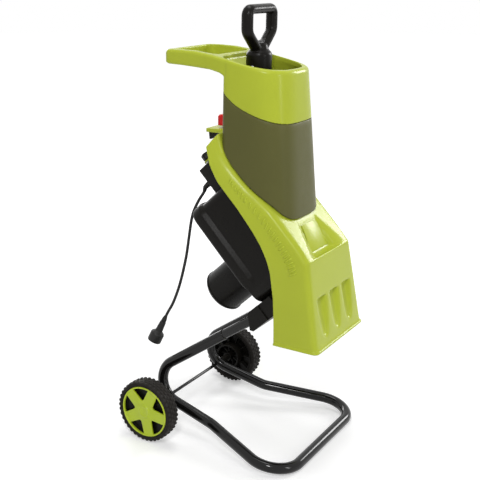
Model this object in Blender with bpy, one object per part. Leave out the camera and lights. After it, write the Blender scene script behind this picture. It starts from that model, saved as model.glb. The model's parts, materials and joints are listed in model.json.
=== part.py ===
"""Electric wood chipper on a two-wheeled tube stand, built as separate pieces.

Metres, +Z up. The discharge chute faces -Y, the wheels and the carry loop are at +Y,
and the machine's right side is -X. The ground is Z = 0.

Two empties carry the pieces. "machine" stands with its Y = 0 over the wheel axle. Under it
"deck" is tilted with the motor housing: there Y runs up along the housing (called u below)
and Z is square to the cutting disc (called m below), pointing up and forward.
"""
import bisect
import math

import bmesh
import bpy
from mathutils import Matrix, Vector

# Clearances
GAP = 0.0003            # between seated neighbours
RUNNING_GAP = 0.0006    # round a turning pin
ROUND_SEAT_GAP = 0.0008 # between faceted rings seated in one another

# Wheels and axle
WHEEL_RADIUS = 0.075
WHEEL_OUTER_X = 0.2146
TIRE_WIDTH = 0.037
TIRE_WALL = 0.0122
TREAD_DEPTH = 0.0016
TREAD_STEPS = 28
AXLE_RADIUS = 0.004
HUB_RADIUS = 0.011
HUB_DRUM_RADIUS = 0.033
HUB_REACH = 0.0535      # from the wheel's outer face to the hub's inner end
SPOKES = 5
WINDOW_TURN = math.radians(78.5)
COVER_RING = 0.004

# Tube stand
TUBE_RADIUS = 0.0125
ARM_RADIUS = 0.011
TUBE_SIDES = 12
STAND_FRONT_Y = -0.3611
STAND_FRONT_X = 0.2153
STAND_KNEE = (0.1256, -0.1337, 0.0436)
AXLE_TUBE_X = 0.1156
ARM_SLOPE = math.radians(35.5)
ARM_HEIGHT_AT_AXLE = 0.1603
ARM_JOINT_Y = -0.150
ARM_JOINT_X = 0.1000
ARM_OVERLAP = 0.028
ARM_REACH = 0.128       # from the joint to the arm's end in the bracket
REAR_BEND_RADIUS = 0.053
KNEE_BEND_RADIUS = 0.060
FRONT_BEND_RADIUS = 0.065

# Tilted motor housing, in deck coordinates
TILT = math.radians(46.0)
CASE_WALL = 0.003
CASE_HALF_WIDTH = 0.106
CASE_LOW_U, CASE_HIGH_U = 0.0925, 0.3480
CASE_RIM_M = 0.532
CASE_CORNER = 0.024
SUMP_HALF_WIDTH = 0.114
SUMP_LOW_U, SUMP_HIGH_U = 0.122, 0.353
SUMP_FLOOR_M = 0.4195
SUMP_HEIGHT = 0.038
SUMP_EDGE = 0.009
CASE_FLOOR_RISE = 0.005   # the case's floor above the sump's
DECK_THICKNESS = 0.004
DECK_LOW_U = 0.138

# Drive
MOTOR_BEARING_RADIUS, SPINDLE_BEARING_RADIUS = 0.014, 0.013
BOSS_WALL = 0.0045
MOTOR_U = 0.178
SPINDLE_U = 0.243
MODULE = 0.002
GEAR_TEETH, PINION_TEETH = 52, 13
GEAR_WIDTH = 0.014
GEAR_RISE = 0.0215      # the gears' lower side above the sump's floor
MOTOR_RADIUS = 0.052
MOTOR_END_M = 0.286
MOTOR_WALL = 0.0027
SHAFT_RADIUS = 0.005
SPINDLE_RADIUS = 0.0085
DISC_RADIUS = 0.098
DISC_THICKNESS = 0.006
BLADE_THICKNESS = 0.004

# Bracket between stand and housing
BOLT_RADIUS = 0.004
BOLT_X, BOLT_M = 0.060, 0.4455
BRACKET_HALF_WIDTH = 0.1140
BRACKET_LOW_U = 0.052
BRACKET_FRONT_M = 0.462
BRACKET_RELIEF = 0.0045  # room at its front corners for the swinging housing
BRACKET_RELIEF_M = 0.425
HINGE_U, HINGE_M = 0.0762, 0.490
HINGE_ROD_RADIUS = 0.004
HINGE_LUG_RADIUS = 0.010
HINGE_LUG_X = (0.080, 0.098)

# Chute housing
SHELL_WALL = 0.003
CHUTE_HALF_WIDTH = 0.120
CHUTE_LIP_Z = 0.280
CHUTE_LIP_FRONT_Y = -0.3926
LIP_PROUD = 0.003
CHUTE_FRONT_LEAN = 0.176     # metres back for each metre up
ROOF_M = 0.592
ROOF_END_U = 0.236           # where the flat roof ends under the neck
ROOF_KICK = 0.009            # how far its upper end rises
CREST_X = 0.1065             # half-width along the roof's edges
HOUSING_TOP_U = 0.4365
END_WALL_INSET = 0.0082      # from the roof's end to the outer face of the end wall
END_WALL = 0.0028
END_WALL_LOW_M = 0.568
LATCH_TAB_RADIUS = 0.0135
POCKET_FLOOR = ((0.044, 0.1095, -0.0195), (0.033, 0.180, -0.0015))  # half-width, u, drop
PLATE_OUTLINE = ((0.0405, 0.1135), (0.0322, 0.1740))  # half-width, u

# Hopper
NECK_CENTRE_Y = -0.165
NECK_WALL = 0.003
NECK_REAR_REACH = 0.036
RIM_FRONT_Z, RIM_RISE = 0.868, 0.037
RIM_ROUND = ((0.0085, 0.0), (0.0035, 0.0013), (0.0010, 0.0038), (0.0, 0.0068))  # depth, inset
MOUTH_TOP_Z = 0.880
NECK_FOOT_Z = 0.552
SEAM_FRONT_Z = 0.757
SEAM_RISE = 0.045
SEAM_KICK = 0.013
LOOP_REAR_Y = 0.0200
LOOP_HALF_WIDTH = 0.0925
LOOP_BAR = 0.017
LOOP_ARM = 0.018
DIVIDER = 0.0115       # between the mouth and the loop's opening
MOUTH_REAR_Y = -0.116
MOUTH_FRONT_Y = -0.258
MOUTH_HALF_WIDTH = 0.089
MOUTH_LIP, MOUTH_FLARE = 0.010, 0.030  # depths below the rim

# Throat and tamper
THROAT_HALF_WIDTH = 0.055
THROAT_REAR_Y, THROAT_FRONT_Y = -0.138, -0.203
THROAT_BEND_Z = 0.680
THROAT_FOOT_REAR_Y, THROAT_FOOT_FRONT_Y = -0.163, -0.219
THROAT_FOOT_M = 0.5575
THROAT_WALL = 0.0025
LEDGE_Z = 0.7200
TAMPER_Y = -0.170
COLLAR_RADIUS = 0.0285
GRIP_SPREAD = 0.0535
GRIP_TOP_Z = 1.003
GRIP_HALF_DEPTH = 0.0135

# Controls and cord
LOCK_X, LOCK_M = -0.030, 0.4985
LOCK_RADIUS = 0.0118
LOCK_LENGTH = 0.0175
LOCK_SCREW_REACH = 0.0275    # from the end wall into the switch box
SWITCH_BOX_X = (-0.064, 0.012)
SWITCH_BOX_M = (0.4800, 0.552)
SWITCH_BOX_CLEARANCE = 0.0085   # to the housing's end wall
GLAND_X, GLAND_U = -0.050, 0.3825
SHELF_HALF_WIDTH = 0.034
SHELF_REAR_Y = -0.055
SHELF_DROP = 0.0040     # the shelf's top below the roof's end
SHELF_THICKNESS = 0.009
BUTTON_Y = -0.0890
BUTTON_TRAVEL_GAP = 0.0052
BUTTON_HEIGHT = 0.0245
BUTTON_HALF_WIDTH = 0.016
STEM_HALF_WIDTH = 0.006
GLAND_LENGTH = 0.0160
CORD_RADIUS = 0.0035
PLUG_END = Vector((-0.0885, 0.0583, 0.1993))

# The ground point midway between chute lip and tyres is the model's origin
AXLE_Y = (-(CHUTE_LIP_FRONT_Y - LIP_PROUD) - WHEEL_RADIUS) / 2

MATERIALS = {
    "green_plastic": ((0.462, 0.533, 0.055), 0.35, 0.0),
    "olive_plastic": ((0.102, 0.102, 0.030), 0.55, 0.0),
    "black_plastic": ((0.012, 0.011, 0.010), 0.45, 0.0),
    "black_paint": ((0.008, 0.008, 0.008), 0.22, 0.0),
    "rubber": ((0.016, 0.014, 0.012), 0.75, 0.0),
    "lime_plastic": ((0.533, 0.672, 0.027), 0.35, 0.0),
    "red_plastic": ((0.640, 0.024, 0.024), 0.35, 0.0),
    "steel": ((0.50, 0.50, 0.52), 0.30, 1.0),
    "copper": ((0.55, 0.22, 0.08), 0.40, 1.0),
    "cast_aluminium": ((0.55, 0.56, 0.57), 0.45, 1.0),
}


def material(name):
    """Return the named material, made the first time it is asked for."""
    found = bpy.data.materials.get(name)
    if found:
        return found
    colour, roughness, metallic = MATERIALS[name]
    made = bpy.data.materials.new(name)
    made.use_nodes = True
    shader = made.node_tree.nodes["Principled BSDF"]
    shader.inputs["Base Color"].default_value = (*colour, 1.0)
    shader.inputs["Roughness"].default_value = roughness
    shader.inputs["Metallic"].default_value = metallic
    made.diffuse_color = (*colour, 1.0)
    return made


def add_empty(name, parent=None, location=(0, 0, 0), tilt=0.0):
    empty = bpy.data.objects.new(name, None)
    bpy.context.collection.objects.link(empty)
    empty.parent = parent
    empty.location = location
    empty.rotation_euler = (tilt, 0, 0)
    return empty


def add_piece(name, bm, finish, parent, location=(0, 0, 0), smooth_angle=35.0):
    """Turn a bmesh into a named object whose faces point outwards."""
    bmesh.ops.recalc_face_normals(bm, faces=bm.faces)
    mesh = bpy.data.meshes.new(name)
    bm.to_mesh(mesh)
    bm.free()
    mesh.shade_smooth()
    mesh.set_sharp_from_angle(angle=math.radians(smooth_angle))
    piece = bpy.data.objects.new(name, mesh)
    bpy.context.collection.objects.link(piece)
    piece.parent = parent
    piece.location = location
    if finish:
        mesh.materials.append(material(finish))
    return piece


def add_tool(bm, parent, location=(0, 0, 0)):
    """A hidden solid that only shapes other pieces."""
    tool = add_piece("tool", bm, None, parent, location)
    tool.hide_render = True
    tool.display_type = "WIRE"
    return tool


def combine(piece, tool, operation="DIFFERENCE"):
    modifier = piece.modifiers.new(operation.lower(), "BOOLEAN")
    modifier.operation = operation
    modifier.solver = "EXACT"
    modifier.object = tool


def between(x, table):
    """Straight-line interpolation in a short table of (x, value), ascending in x."""
    keys = [row[0] for row in table]
    i = min(max(bisect.bisect_left(keys, x), 1), len(keys) - 1)
    (x0, v0), (x1, v1) = table[i - 1], table[i]
    t = min(max((x - x0) / (x1 - x0), 0.0), 1.0)
    return v0 + (v1 - v0) * t


def skin(bm, loops, closed=False):
    """Bridge loops of equal length with quads, and back to the first when closed."""
    rows = [[bm.verts.new(point) for point in loop] for loop in loops]
    pairs = list(zip(rows, rows[1:]))
    if closed:
        pairs.append((rows[-1], rows[0]))
    for low, high in pairs:
        for i in range(len(low)):
            j = (i + 1) % len(low)
            bm.faces.new((low[i], low[j], high[j], high[i]))
    return rows


def cap_strip(bm, loop):
    """Close a loop whose points i and -i mirror each other with flat strips."""
    count = len(loop)
    for i in range(count // 2):
        corners = [loop[i], loop[i + 1], loop[-(i + 1)], loop[-i]]
        unique = [v for k, v in enumerate(corners) if v not in corners[:k]]
        bm.faces.new(unique)


def solid_loft(loops, strips=False):
    """A closed solid through the loops, capped at both ends."""
    bm = bmesh.new()
    rows = skin(bm, loops)
    for row in (rows[0], rows[-1]):
        if strips:
            cap_strip(bm, row)
        else:
            bm.faces.new(row)
    return bm


def shell_loft(outer, inner):
    """A wall between outer and inner loops, open through the middle."""
    bm = bmesh.new()
    skin(bm, list(outer) + list(reversed(inner)), closed=True)
    return bm


def prism(profile, low, high, axis="X"):
    """Extrude a flat outline. X: outline is (y, z); Y: (x, z); Z: (x, y)."""
    place = {"X": lambda a, b, h: (h, a, b), "Y": lambda a, b, h: (a, h, b),
             "Z": lambda a, b, h: (a, b, h)}[axis]
    return solid_loft([[place(a, b, h) for a, b in profile] for h in (low, high)])


def box(x, y, z):
    return prism([(x[0], y[0]), (x[1], y[0]), (x[1], y[1]), (x[0], y[1])], z[0], z[1], "Z")


def rounded_rectangle(x_low, x_high, y_low, y_high, radius, steps=3):
    points = []
    corners = ((x_high - radius, y_high - radius, 0), (x_low + radius, y_high - radius, 90),
               (x_low + radius, y_low + radius, 180), (x_high - radius, y_low + radius, 270))
    for cx, cy, start in corners:
        for k in range(steps + 1):
            angle = math.radians(start + 90 * k / steps)
            points.append((cx + radius * math.cos(angle), cy + radius * math.sin(angle)))
    return points


def turned(profile, steps, axis="Z", centre=(0, 0), ring=False):
    """Revolve (radius, height) points. A ring profile is closed and clear of the axis."""
    def place(r, h, k):
        angle = math.tau * (k + 0.5) / steps
        a, b = r * math.cos(angle), r * math.sin(angle)
        return {"Z": (centre[0] + a, centre[1] + b, h), "X": (h, centre[0] + a, centre[1] + b),
                "Y": (centre[0] + a, h, centre[1] + b)}[axis]
    loops = [[place(r, h, k) for k in range(steps)] for r, h in profile]
    if not ring:
        return solid_loft(loops)
    bm = bmesh.new()
    skin(bm, loops, closed=True)
    return bm


def rod(radius, low, high, steps=16, axis="Z", centre=(0, 0)):
    return turned([(radius, low), (radius, high)], steps, axis, centre)


def sleeve(inner, outer, low, high, steps=14, axis="Z", centre=(0, 0)):
    profile = [(inner, low), (outer, low), (outer, high), (inner, high)]
    return turned(profile, steps, axis, centre, ring=True)


def rounded_path(corners, radii, degrees_per_step=26.0):
    """Replace each inner corner of a polyline by an arc of the given radius."""
    corners = [Vector(c) for c in corners]
    path = [corners[0]]
    for before, corner, after, radius in zip(corners, corners[1:], corners[2:], radii):
        inward, outward = (before - corner).normalized(), (after - corner).normalized()
        half = inward.angle(outward) / 2
        bisector = (inward + outward).normalized()
        centre = corner + bisector * (radius / math.sin(half))
        start = corner + inward * (radius / math.tan(half)) - centre
        end = corner + outward * (radius / math.tan(half)) - centre
        turn = start.angle(end)
        steps = max(2, round(math.degrees(turn) / degrees_per_step))
        axis = start.cross(end).normalized()
        for k in range(steps + 1):
            path.append(centre + Matrix.Rotation(turn * k / steps, 3, axis) @ start)
    return path + [corners[-1]]


def travel_normals(path, tangents, start, normal):
    """Carry a normal along the path from one point, both ways, without twist."""
    normals = [None] * len(path)
    tangent = tangents[start]
    normals[start] = (normal - tangent * normal.dot(tangent)).normalized()
    for step in (1, -1):
        i = start + step
        while 0 <= i < len(path):
            previous = normals[i - step]
            normals[i] = (previous - tangents[i] * previous.dot(tangents[i])).normalized()
            i += step
    return normals


def swept(path, radius, sides=TUBE_SIDES, radius_b=None, side_axis=None, level=None):
    """A bar along a path, its flats touching the true round or oval.

    side_axis fixes the oval's second axis. level = (index, direction) turns one flat at
    that path point to face that direction.
    """
    path = [Vector(p) for p in path]
    tangents = []
    for i in range(len(path)):
        ahead = path[min(i + 1, len(path) - 1)] - path[i]
        behind = path[i] - path[max(i - 1, 0)]
        tangents.append((ahead.normalized() + behind.normalized()).normalized())
    if side_axis:
        second = Vector(side_axis)
        normals = [second.cross(tangent).normalized() for tangent in tangents]
    else:
        start, direction = level or (0, tangents[0].orthogonal())
        normals = travel_normals(path, tangents, start, Vector(direction))
    over = 1 / math.cos(math.pi / sides)
    loops = []
    for i, point in enumerate(path):
        other = tangents[i].cross(normals[i])
        loop = []
        for k in range(sides):
            angle = math.tau * (k + 0.5) / sides
            loop.append(point + normals[i] * (radius * over * math.cos(angle))
                        + other * ((radius_b or radius) * over * math.sin(angle)))
        loops.append(loop)
    return solid_loft(loops)


def joined(*parts):
    """Put several bmeshes that don't touch each other into one, as a tool."""
    whole = bmesh.new()
    for bm in parts:
        mesh = bpy.data.meshes.new("piece_of_tool")
        bmesh.ops.recalc_face_normals(bm, faces=bm.faces)
        bm.to_mesh(mesh)
        bm.free()
        whole.from_mesh(mesh)
        bpy.data.meshes.remove(mesh)
    return whole


def gear_outline(teeth, centre, phase, module=MODULE, fill=0.46):
    """Trapezoid teeth round a pitch circle, thinned a little for backlash."""
    pitch = module * teeth / 2
    outer, root = pitch + 0.9 * module, pitch - 1.2 * module
    step = math.tau / teeth
    points = []
    for k in range(teeth):
        middle = k * step + phase
        for offset, radius in ((-0.62 * fill, root), (-0.30 * fill, outer),
                               (0.30 * fill, outer), (0.62 * fill, root)):
            angle = middle + offset * step
            points.append((centre[0] + radius * math.cos(angle),
                           centre[1] + radius * math.sin(angle)))
    return points


def arm_point(distance, side):
    """A point on the straight upper arm, measured from its joint towards the bracket."""
    drop_to_axle = -ARM_JOINT_Y * math.tan(ARM_SLOPE)
    start = Vector((side * ARM_JOINT_X, ARM_JOINT_Y, ARM_HEIGHT_AT_AXLE + drop_to_axle))
    return start + Vector((0, -math.cos(ARM_SLOPE), math.sin(ARM_SLOPE))) * distance


def stand_corners(side):
    """Corner points of one side of the bent tube, from the arm joint to the front."""
    lower_slope = (STAND_KNEE[2] - WHEEL_RADIUS) / STAND_KNEE[1]
    spread = (STAND_KNEE[0] - AXLE_TUBE_X) / -STAND_KNEE[1]
    rear_y = (ARM_HEIGHT_AT_AXLE - WHEEL_RADIUS) / (lower_slope + math.tan(ARM_SLOPE))
    rear_z = WHEEL_RADIUS + lower_slope * rear_y
    rear = (side * (AXLE_TUBE_X - spread * rear_y), rear_y, rear_z)
    knee = (side * STAND_KNEE[0], STAND_KNEE[1], STAND_KNEE[2])
    front = (side * STAND_FRONT_X, STAND_FRONT_Y, TUBE_RADIUS)
    return [arm_point(0, side), rear, knee, front]


def build_stand(machine):
    """Bent lower tube, two upper arms, axle and its sleeves."""
    corners = stand_corners(-1) + stand_corners(1)[::-1]
    bends = [REAR_BEND_RADIUS, KNEE_BEND_RADIUS, FRONT_BEND_RADIUS]
    path = rounded_path(corners, bends + bends[::-1])
    middle = len(path) // 2
    path.insert(middle, (path[middle - 1] + path[middle]) / 2)
    stand = add_piece("stand_tube", swept(path, TUBE_RADIUS, level=(middle, (0, 0, -1))),
                      "black_paint", machine)
    for side, word in ((-1, "right"), (1, "left")):
        low, high = arm_point(-ARM_OVERLAP, side), arm_point(ARM_REACH, side)
        socket = [arm_point(-ARM_OVERLAP - GAP, side), arm_point(0.02, side)]
        combine(stand, add_tool(swept(socket, ARM_RADIUS + GAP, 16), machine))
        add_piece(f"upper_arm_{word}", swept([low, high], ARM_RADIUS, 16), "black_paint", machine)
    axle_hole = rod(AXLE_RADIUS + GAP, -0.2, 0.2, 16, "X", (0, WHEEL_RADIUS))
    combine(stand, add_tool(axle_hole, machine))
    axle_end = WHEEL_OUTER_X - 0.008
    add_piece("axle_rod", rod(AXLE_RADIUS, -axle_end, axle_end, 16, "X", (0, WHEEL_RADIUS)),
              "black_paint", machine)
    for side, word in ((-1, "right"), (1, "left")):
        ends = sorted((side * (AXLE_TUBE_X + TUBE_RADIUS + 0.0016),
                       side * (WHEEL_OUTER_X - HUB_REACH - GAP)))
        add_piece(f"axle_spacer_{word}", sleeve(AXLE_RADIUS + GAP, 0.008, *ends, 16, "X",
                                                (0, WHEEL_RADIUS)), "black_plastic", machine)


def tire_mesh(side):
    """A tyre with raised tread blocks set in alternate rows."""
    outer_x, inner_x = WHEEL_OUTER_X, WHEEL_OUTER_X - TIRE_WIDTH
    bore = WHEEL_RADIUS - TIRE_WALL
    ground = WHEEL_RADIUS - TREAD_DEPTH
    shoulder = 0.004
    rows = 2
    profile = [(bore, inner_x + 0.001), (bore + 0.004, inner_x), (ground - shoulder, inner_x)]
    for k in range(rows + 1):
        share = k / rows
        profile.append((ground, inner_x + shoulder + share * (TIRE_WIDTH - 2 * shoulder)))
    profile += [(ground - shoulder, outer_x), (bore + 0.004, outer_x), (bore, outer_x - 0.001)]
    mirrored = [(r, side * x) for r, x in profile]
    bm = turned(mirrored, TREAD_STEPS, "X", (0, WHEEL_RADIUS), ring=True)
    bmesh.ops.recalc_face_normals(bm, faces=bm.faces)
    bm.faces.ensure_lookup_table()
    first_row = 3
    blocks = []
    for row in range(first_row, first_row + rows):
        for k in range(TREAD_STEPS):
            if (row + k) % 2:
                blocks.append(bm.faces[row * TREAD_STEPS + k])
    bmesh.ops.inset_individual(bm, faces=blocks, thickness=0.0009, depth=TREAD_DEPTH)
    return bm


def wheel_mesh(side):
    """The black wheel: rim, web, open hub drum and long axle sleeve in one moulding."""
    out = WHEEL_OUTER_X
    hub_end = out - HUB_REACH
    rim = WHEEL_RADIUS - TIRE_WALL - ROUND_SEAT_GAP
    web = out - 0.0155
    profile = [(AXLE_RADIUS + RUNNING_GAP, hub_end), (HUB_RADIUS, hub_end), (HUB_RADIUS, web),
               (HUB_DRUM_RADIUS - 0.004, web), (HUB_DRUM_RADIUS - 0.004, hub_end + 0.002),
               (HUB_DRUM_RADIUS, hub_end + 0.002), (HUB_DRUM_RADIUS, web),
               (rim - 0.004, web), (rim - 0.004, out - TIRE_WIDTH + 0.002),
               (rim, out - TIRE_WIDTH + 0.002), (rim, out - 0.0060), (rim - 0.004, out - 0.0060),
               (rim - 0.004, web + 0.003), (AXLE_RADIUS + RUNNING_GAP, web + 0.003)]
    return turned([(r, side * x) for r, x in profile], 20, "X", (0, WHEEL_RADIUS), ring=True)


def cover_mesh(side):
    """The wheel cover: outer ring and hub disc, before its windows are cut."""
    out = WHEEL_OUTER_X
    rim = WHEEL_RADIUS - TIRE_WALL - ROUND_SEAT_GAP
    back = out - 0.0057
    profile = [(rim, back), (rim, out - 0.0020), (rim - 0.004, out - 0.0012),
               (rim - 0.006, out - 0.0030), (0.015, out - 0.0030), (0.013, out - 0.0008)]
    return turned([(r, side * x) for r, x in profile], 25, "X", (0, WHEEL_RADIUS))


def cover_windows(side):
    """Five openings between tapering spokes."""
    reach = WHEEL_RADIUS - TIRE_WALL - ROUND_SEAT_GAP - COVER_RING
    windows = []
    for k in range(SPOKES):
        middle = math.tau * k / SPOKES + WINDOW_TURN
        outline = []
        for turn, radius in ((-22.5, reach), (-11, reach), (0, reach), (11, reach), (22.5, reach),
                             (6, 0.0295), (0, 0.0270), (-6, 0.0295)):
            angle = middle + math.radians(turn)
            outline.append((radius * math.cos(angle), WHEEL_RADIUS + radius * math.sin(angle)))
        ends = sorted((side * (WHEEL_OUTER_X - 0.02), side * (WHEEL_OUTER_X + 0.01)))
        windows.append(prism(outline, *ends, "X"))
    return joined(*windows)


def build_wheels(machine):
    for side, word in ((-1, "right"), (1, "left")):
        add_piece(f"tire_{word}", tire_mesh(side), "rubber", machine)
        add_piece(f"wheel_{word}", wheel_mesh(side), "black_plastic", machine)
        cover = add_piece(f"wheel_cover_{word}", cover_mesh(side), "lime_plastic", machine)
        combine(cover, add_tool(cover_windows(side), machine))
        web_face = WHEEL_OUTER_X - 0.0125
        ends = sorted((side * (web_face + GAP), side * (web_face + 0.0025)))
        add_piece(f"axle_clip_{word}", sleeve(AXLE_RADIUS + GAP, 0.009, *ends, 16, "X",
                                              (0, WHEEL_RADIUS)), "steel", machine)


def case_loft(half_width, u_range, levels, radius):
    """Rounded box in deck coordinates. levels are (m, inset) pairs."""
    loops = []
    for m, inset in levels:
        outline = rounded_rectangle(-half_width + inset, half_width - inset, u_range[0] + inset,
                                    u_range[1] - inset, max(radius - inset, 0.002))
        loops.append([(x, u, m) for x, u in outline])
    return solid_loft(loops)


def build_motor_base(deck):
    """The tub that holds the gears, with its wider sump below the ledge."""
    wall = CASE_WALL
    case_floor = SUMP_FLOOR_M + CASE_FLOOR_RISE
    sump_top = SUMP_FLOOR_M + SUMP_HEIGHT
    base = add_piece("motor_base", case_loft(
        CASE_HALF_WIDTH, (CASE_LOW_U, CASE_HIGH_U), [(case_floor, 0.0), (CASE_RIM_M, 0.0)],
        CASE_CORNER), "black_plastic", deck)
    sump_levels = [(SUMP_FLOOR_M, SUMP_EDGE), (SUMP_FLOOR_M + SUMP_EDGE * 0.3, SUMP_EDGE * 0.3),
                   (SUMP_FLOOR_M + SUMP_EDGE, 0.0), (sump_top - 0.004, 0.0), (sump_top, 0.004)]
    sump = case_loft(SUMP_HALF_WIDTH, (SUMP_LOW_U, SUMP_HIGH_U), sump_levels, 0.030)
    combine(base, add_tool(sump, deck), "UNION")
    nose = prism([(0.06, 0.485), (CASE_LOW_U, 0.485), (DECK_LOW_U - 0.001, CASE_RIM_M),
                  (0.12, 0.56), (0.06, 0.56)], -0.2, 0.2)
    inner_nose = prism([(0.06, 0.481), (CASE_LOW_U + wall, 0.4835),
                        (DECK_LOW_U + wall, CASE_RIM_M + 0.0005), (0.12, 0.56), (0.06, 0.56)],
                       -0.2, 0.2)
    combine(base, add_tool(nose, deck))
    upper_room = add_tool(case_loft(
        CASE_HALF_WIDTH - wall, (CASE_LOW_U + wall, CASE_HIGH_U - wall),
        [(case_floor + wall, 0.0), (CASE_RIM_M + 0.01, 0.0)], CASE_CORNER - wall), deck)
    combine(upper_room, add_tool(inner_nose, deck))
    lower_room = case_loft(SUMP_HALF_WIDTH - wall, (SUMP_LOW_U + wall, SUMP_HIGH_U - wall),
                           [(SUMP_FLOOR_M + wall, SUMP_EDGE * 0.7),
                            (SUMP_FLOOR_M + wall + SUMP_EDGE * 0.7, 0.0),
                            (sump_top - wall - 0.003, 0.0), (sump_top - wall, 0.003)], 0.026)
    combine(base, upper_room)
    combine(base, add_tool(lower_room, deck))
    low, mid, high = bearing_levels()
    bosses = joined(rod(MOTOR_BEARING_RADIUS + BOSS_WALL, low, SUMP_FLOOR_M + 0.002, 20, "Z",
                        (0, MOTOR_U)),
                    rod(SPINDLE_BEARING_RADIUS + BOSS_WALL, SUMP_FLOOR_M + 0.001, high, 20, "Z",
                        (0, SPINDLE_U)))
    combine(base, add_tool(bosses, deck), "UNION")
    bearing_seats = joined(rod(MOTOR_BEARING_RADIUS + GAP, low - 0.01, high + 0.003, 20, "Z",
                               (0, MOTOR_U)),
                           rod(SPINDLE_BEARING_RADIUS + GAP, mid, high + 0.003, 20, "Z",
                               (0, SPINDLE_U)))
    combine(base, add_tool(bearing_seats, deck))
    bolts = joined(*[rod(BOLT_RADIUS + GAP, CASE_LOW_U - 0.01, CASE_LOW_U + 0.015, 12, "Y",
                         (x, BOLT_M)) for x in (-BOLT_X, BOLT_X)])
    combine(base, add_tool(bolts, deck))


def bearing_levels():
    """Lower end of the motor boss, floor of the spindle's seat and top of its boss."""
    return SUMP_FLOOR_M - 0.0090, SUMP_FLOOR_M + 0.0040, SUMP_FLOOR_M + 0.0145


def build_deck(deck):
    """Deck plate with its bearing hub, screws, spindle, disc, knives, gears and bearings."""
    top = CASE_RIM_M + GAP + DECK_THICKNESS
    outline = rounded_rectangle(-CASE_HALF_WIDTH, CASE_HALF_WIDTH, DECK_LOW_U, CASE_HIGH_U,
                                CASE_CORNER)
    plate = add_piece("deck_plate", prism(outline, CASE_RIM_M + GAP, top, "Z"),
                      "cast_aluminium", deck)
    hub = rod(0.024, CASE_RIM_M - 0.010, CASE_RIM_M + 0.002, 24, "Z", (0, SPINDLE_U))
    combine(plate, add_tool(hub, deck), "UNION")
    combine(plate, add_tool(rod(0.0175 + GAP, 0.50, 0.56, 16, "Z", (0, SPINDLE_U)), deck))
    add_piece("spindle_bearing_upper", sleeve(SPINDLE_RADIUS + GAP, 0.0175, top - 0.012, top - 0.001,
                                              16, "Z", (0, SPINDLE_U)), "steel", deck)
    _, seat, boss_top = bearing_levels()
    bearing_low, bearing_high = seat + GAP, boss_top - 0.001
    journal = 0.006
    add_piece("spindle_bearing_lower", sleeve(journal + GAP, SPINDLE_BEARING_RADIUS, bearing_low,
                                              bearing_high, 14, "Z", (0, SPINDLE_U)),
              "steel", deck)
    flange = top + 0.001
    disc_low = flange + 0.005 + GAP
    disc_high = disc_low + DISC_THICKNESS
    spindle = turned([(journal, bearing_low), (journal, bearing_high + 0.0015),
                      (SPINDLE_RADIUS, bearing_high + 0.0015),
                      (SPINDLE_RADIUS, flange), (0.030, flange), (0.030, flange + 0.005),
                      (SPINDLE_RADIUS, flange + 0.005), (SPINDLE_RADIUS, disc_high + 0.0045)],
                     16, "Z", (0, SPINDLE_U))
    add_piece("spindle", spindle, "steel", deck)
    disc = add_piece("cutting_disc", sleeve(SPINDLE_RADIUS + GAP, DISC_RADIUS, disc_low, disc_high,
                                            32, "Z", (0, SPINDLE_U)), "steel", deck)
    slots = joined(*[box((side * 0.058 - 0.028, side * 0.058 + 0.028),
                         (SPINDLE_U + side * 0.0135 - 0.0055, SPINDLE_U + side * 0.0135 + 0.0055),
                         (disc_low - 0.01, disc_high + 0.01)) for side in (-1, 1)])
    combine(disc, add_tool(slots, deck))
    for side, word in ((-1, "a"), (1, "b")):
        edge = SPINDLE_U + side * 0.0075
        back = SPINDLE_U - side * 0.0125
        outline = [(side * 0.030, edge), (side * 0.086, edge), (side * 0.086, back),
                   (side * 0.030, back)]
        bevelled = [[(x, u, disc_high + GAP) for x, u in outline],
                    [(x, u - side * (0.0035 if u == edge else 0.0),
                      disc_high + GAP + BLADE_THICKNESS) for x, u in outline]]
        add_piece(f"knife_{word}", solid_loft(bevelled), "steel", deck)
    hexagon = [(0.0125 * math.cos(math.tau * k / 6), SPINDLE_U + 0.0125 * math.sin(math.tau * k / 6))
               for k in range(6)]
    nut = add_piece("disc_nut", prism(hexagon, disc_high + GAP, disc_high + 0.0065, "Z"), "steel", deck)
    combine(nut, add_tool(rod(SPINDLE_RADIUS + GAP, 0.5, 0.7, 16, "Z", (0, SPINDLE_U)), deck))
    gear_low = SUMP_FLOOR_M + GEAR_RISE
    gear = add_piece("drive_gear", prism(gear_outline(
        GEAR_TEETH, (0, SPINDLE_U), math.pi / GEAR_TEETH), gear_low, gear_low + GEAR_WIDTH, "Z"),
        "steel", deck)
    combine(gear, add_tool(rod(SPINDLE_RADIUS + GAP, 0.4, 0.5, 16, "Z", (0, SPINDLE_U)), deck))
    pinion = add_piece("motor_pinion", prism(gear_outline(
        PINION_TEETH, (0, MOTOR_U), math.pi / 2), gear_low - 0.001, gear_low + GEAR_WIDTH + 0.001, "Z"),
        "steel", deck)
    combine(pinion, add_tool(rod(SHAFT_RADIUS + GAP, 0.4, 0.5, 16, "Z", (0, MOTOR_U)), deck))


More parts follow.
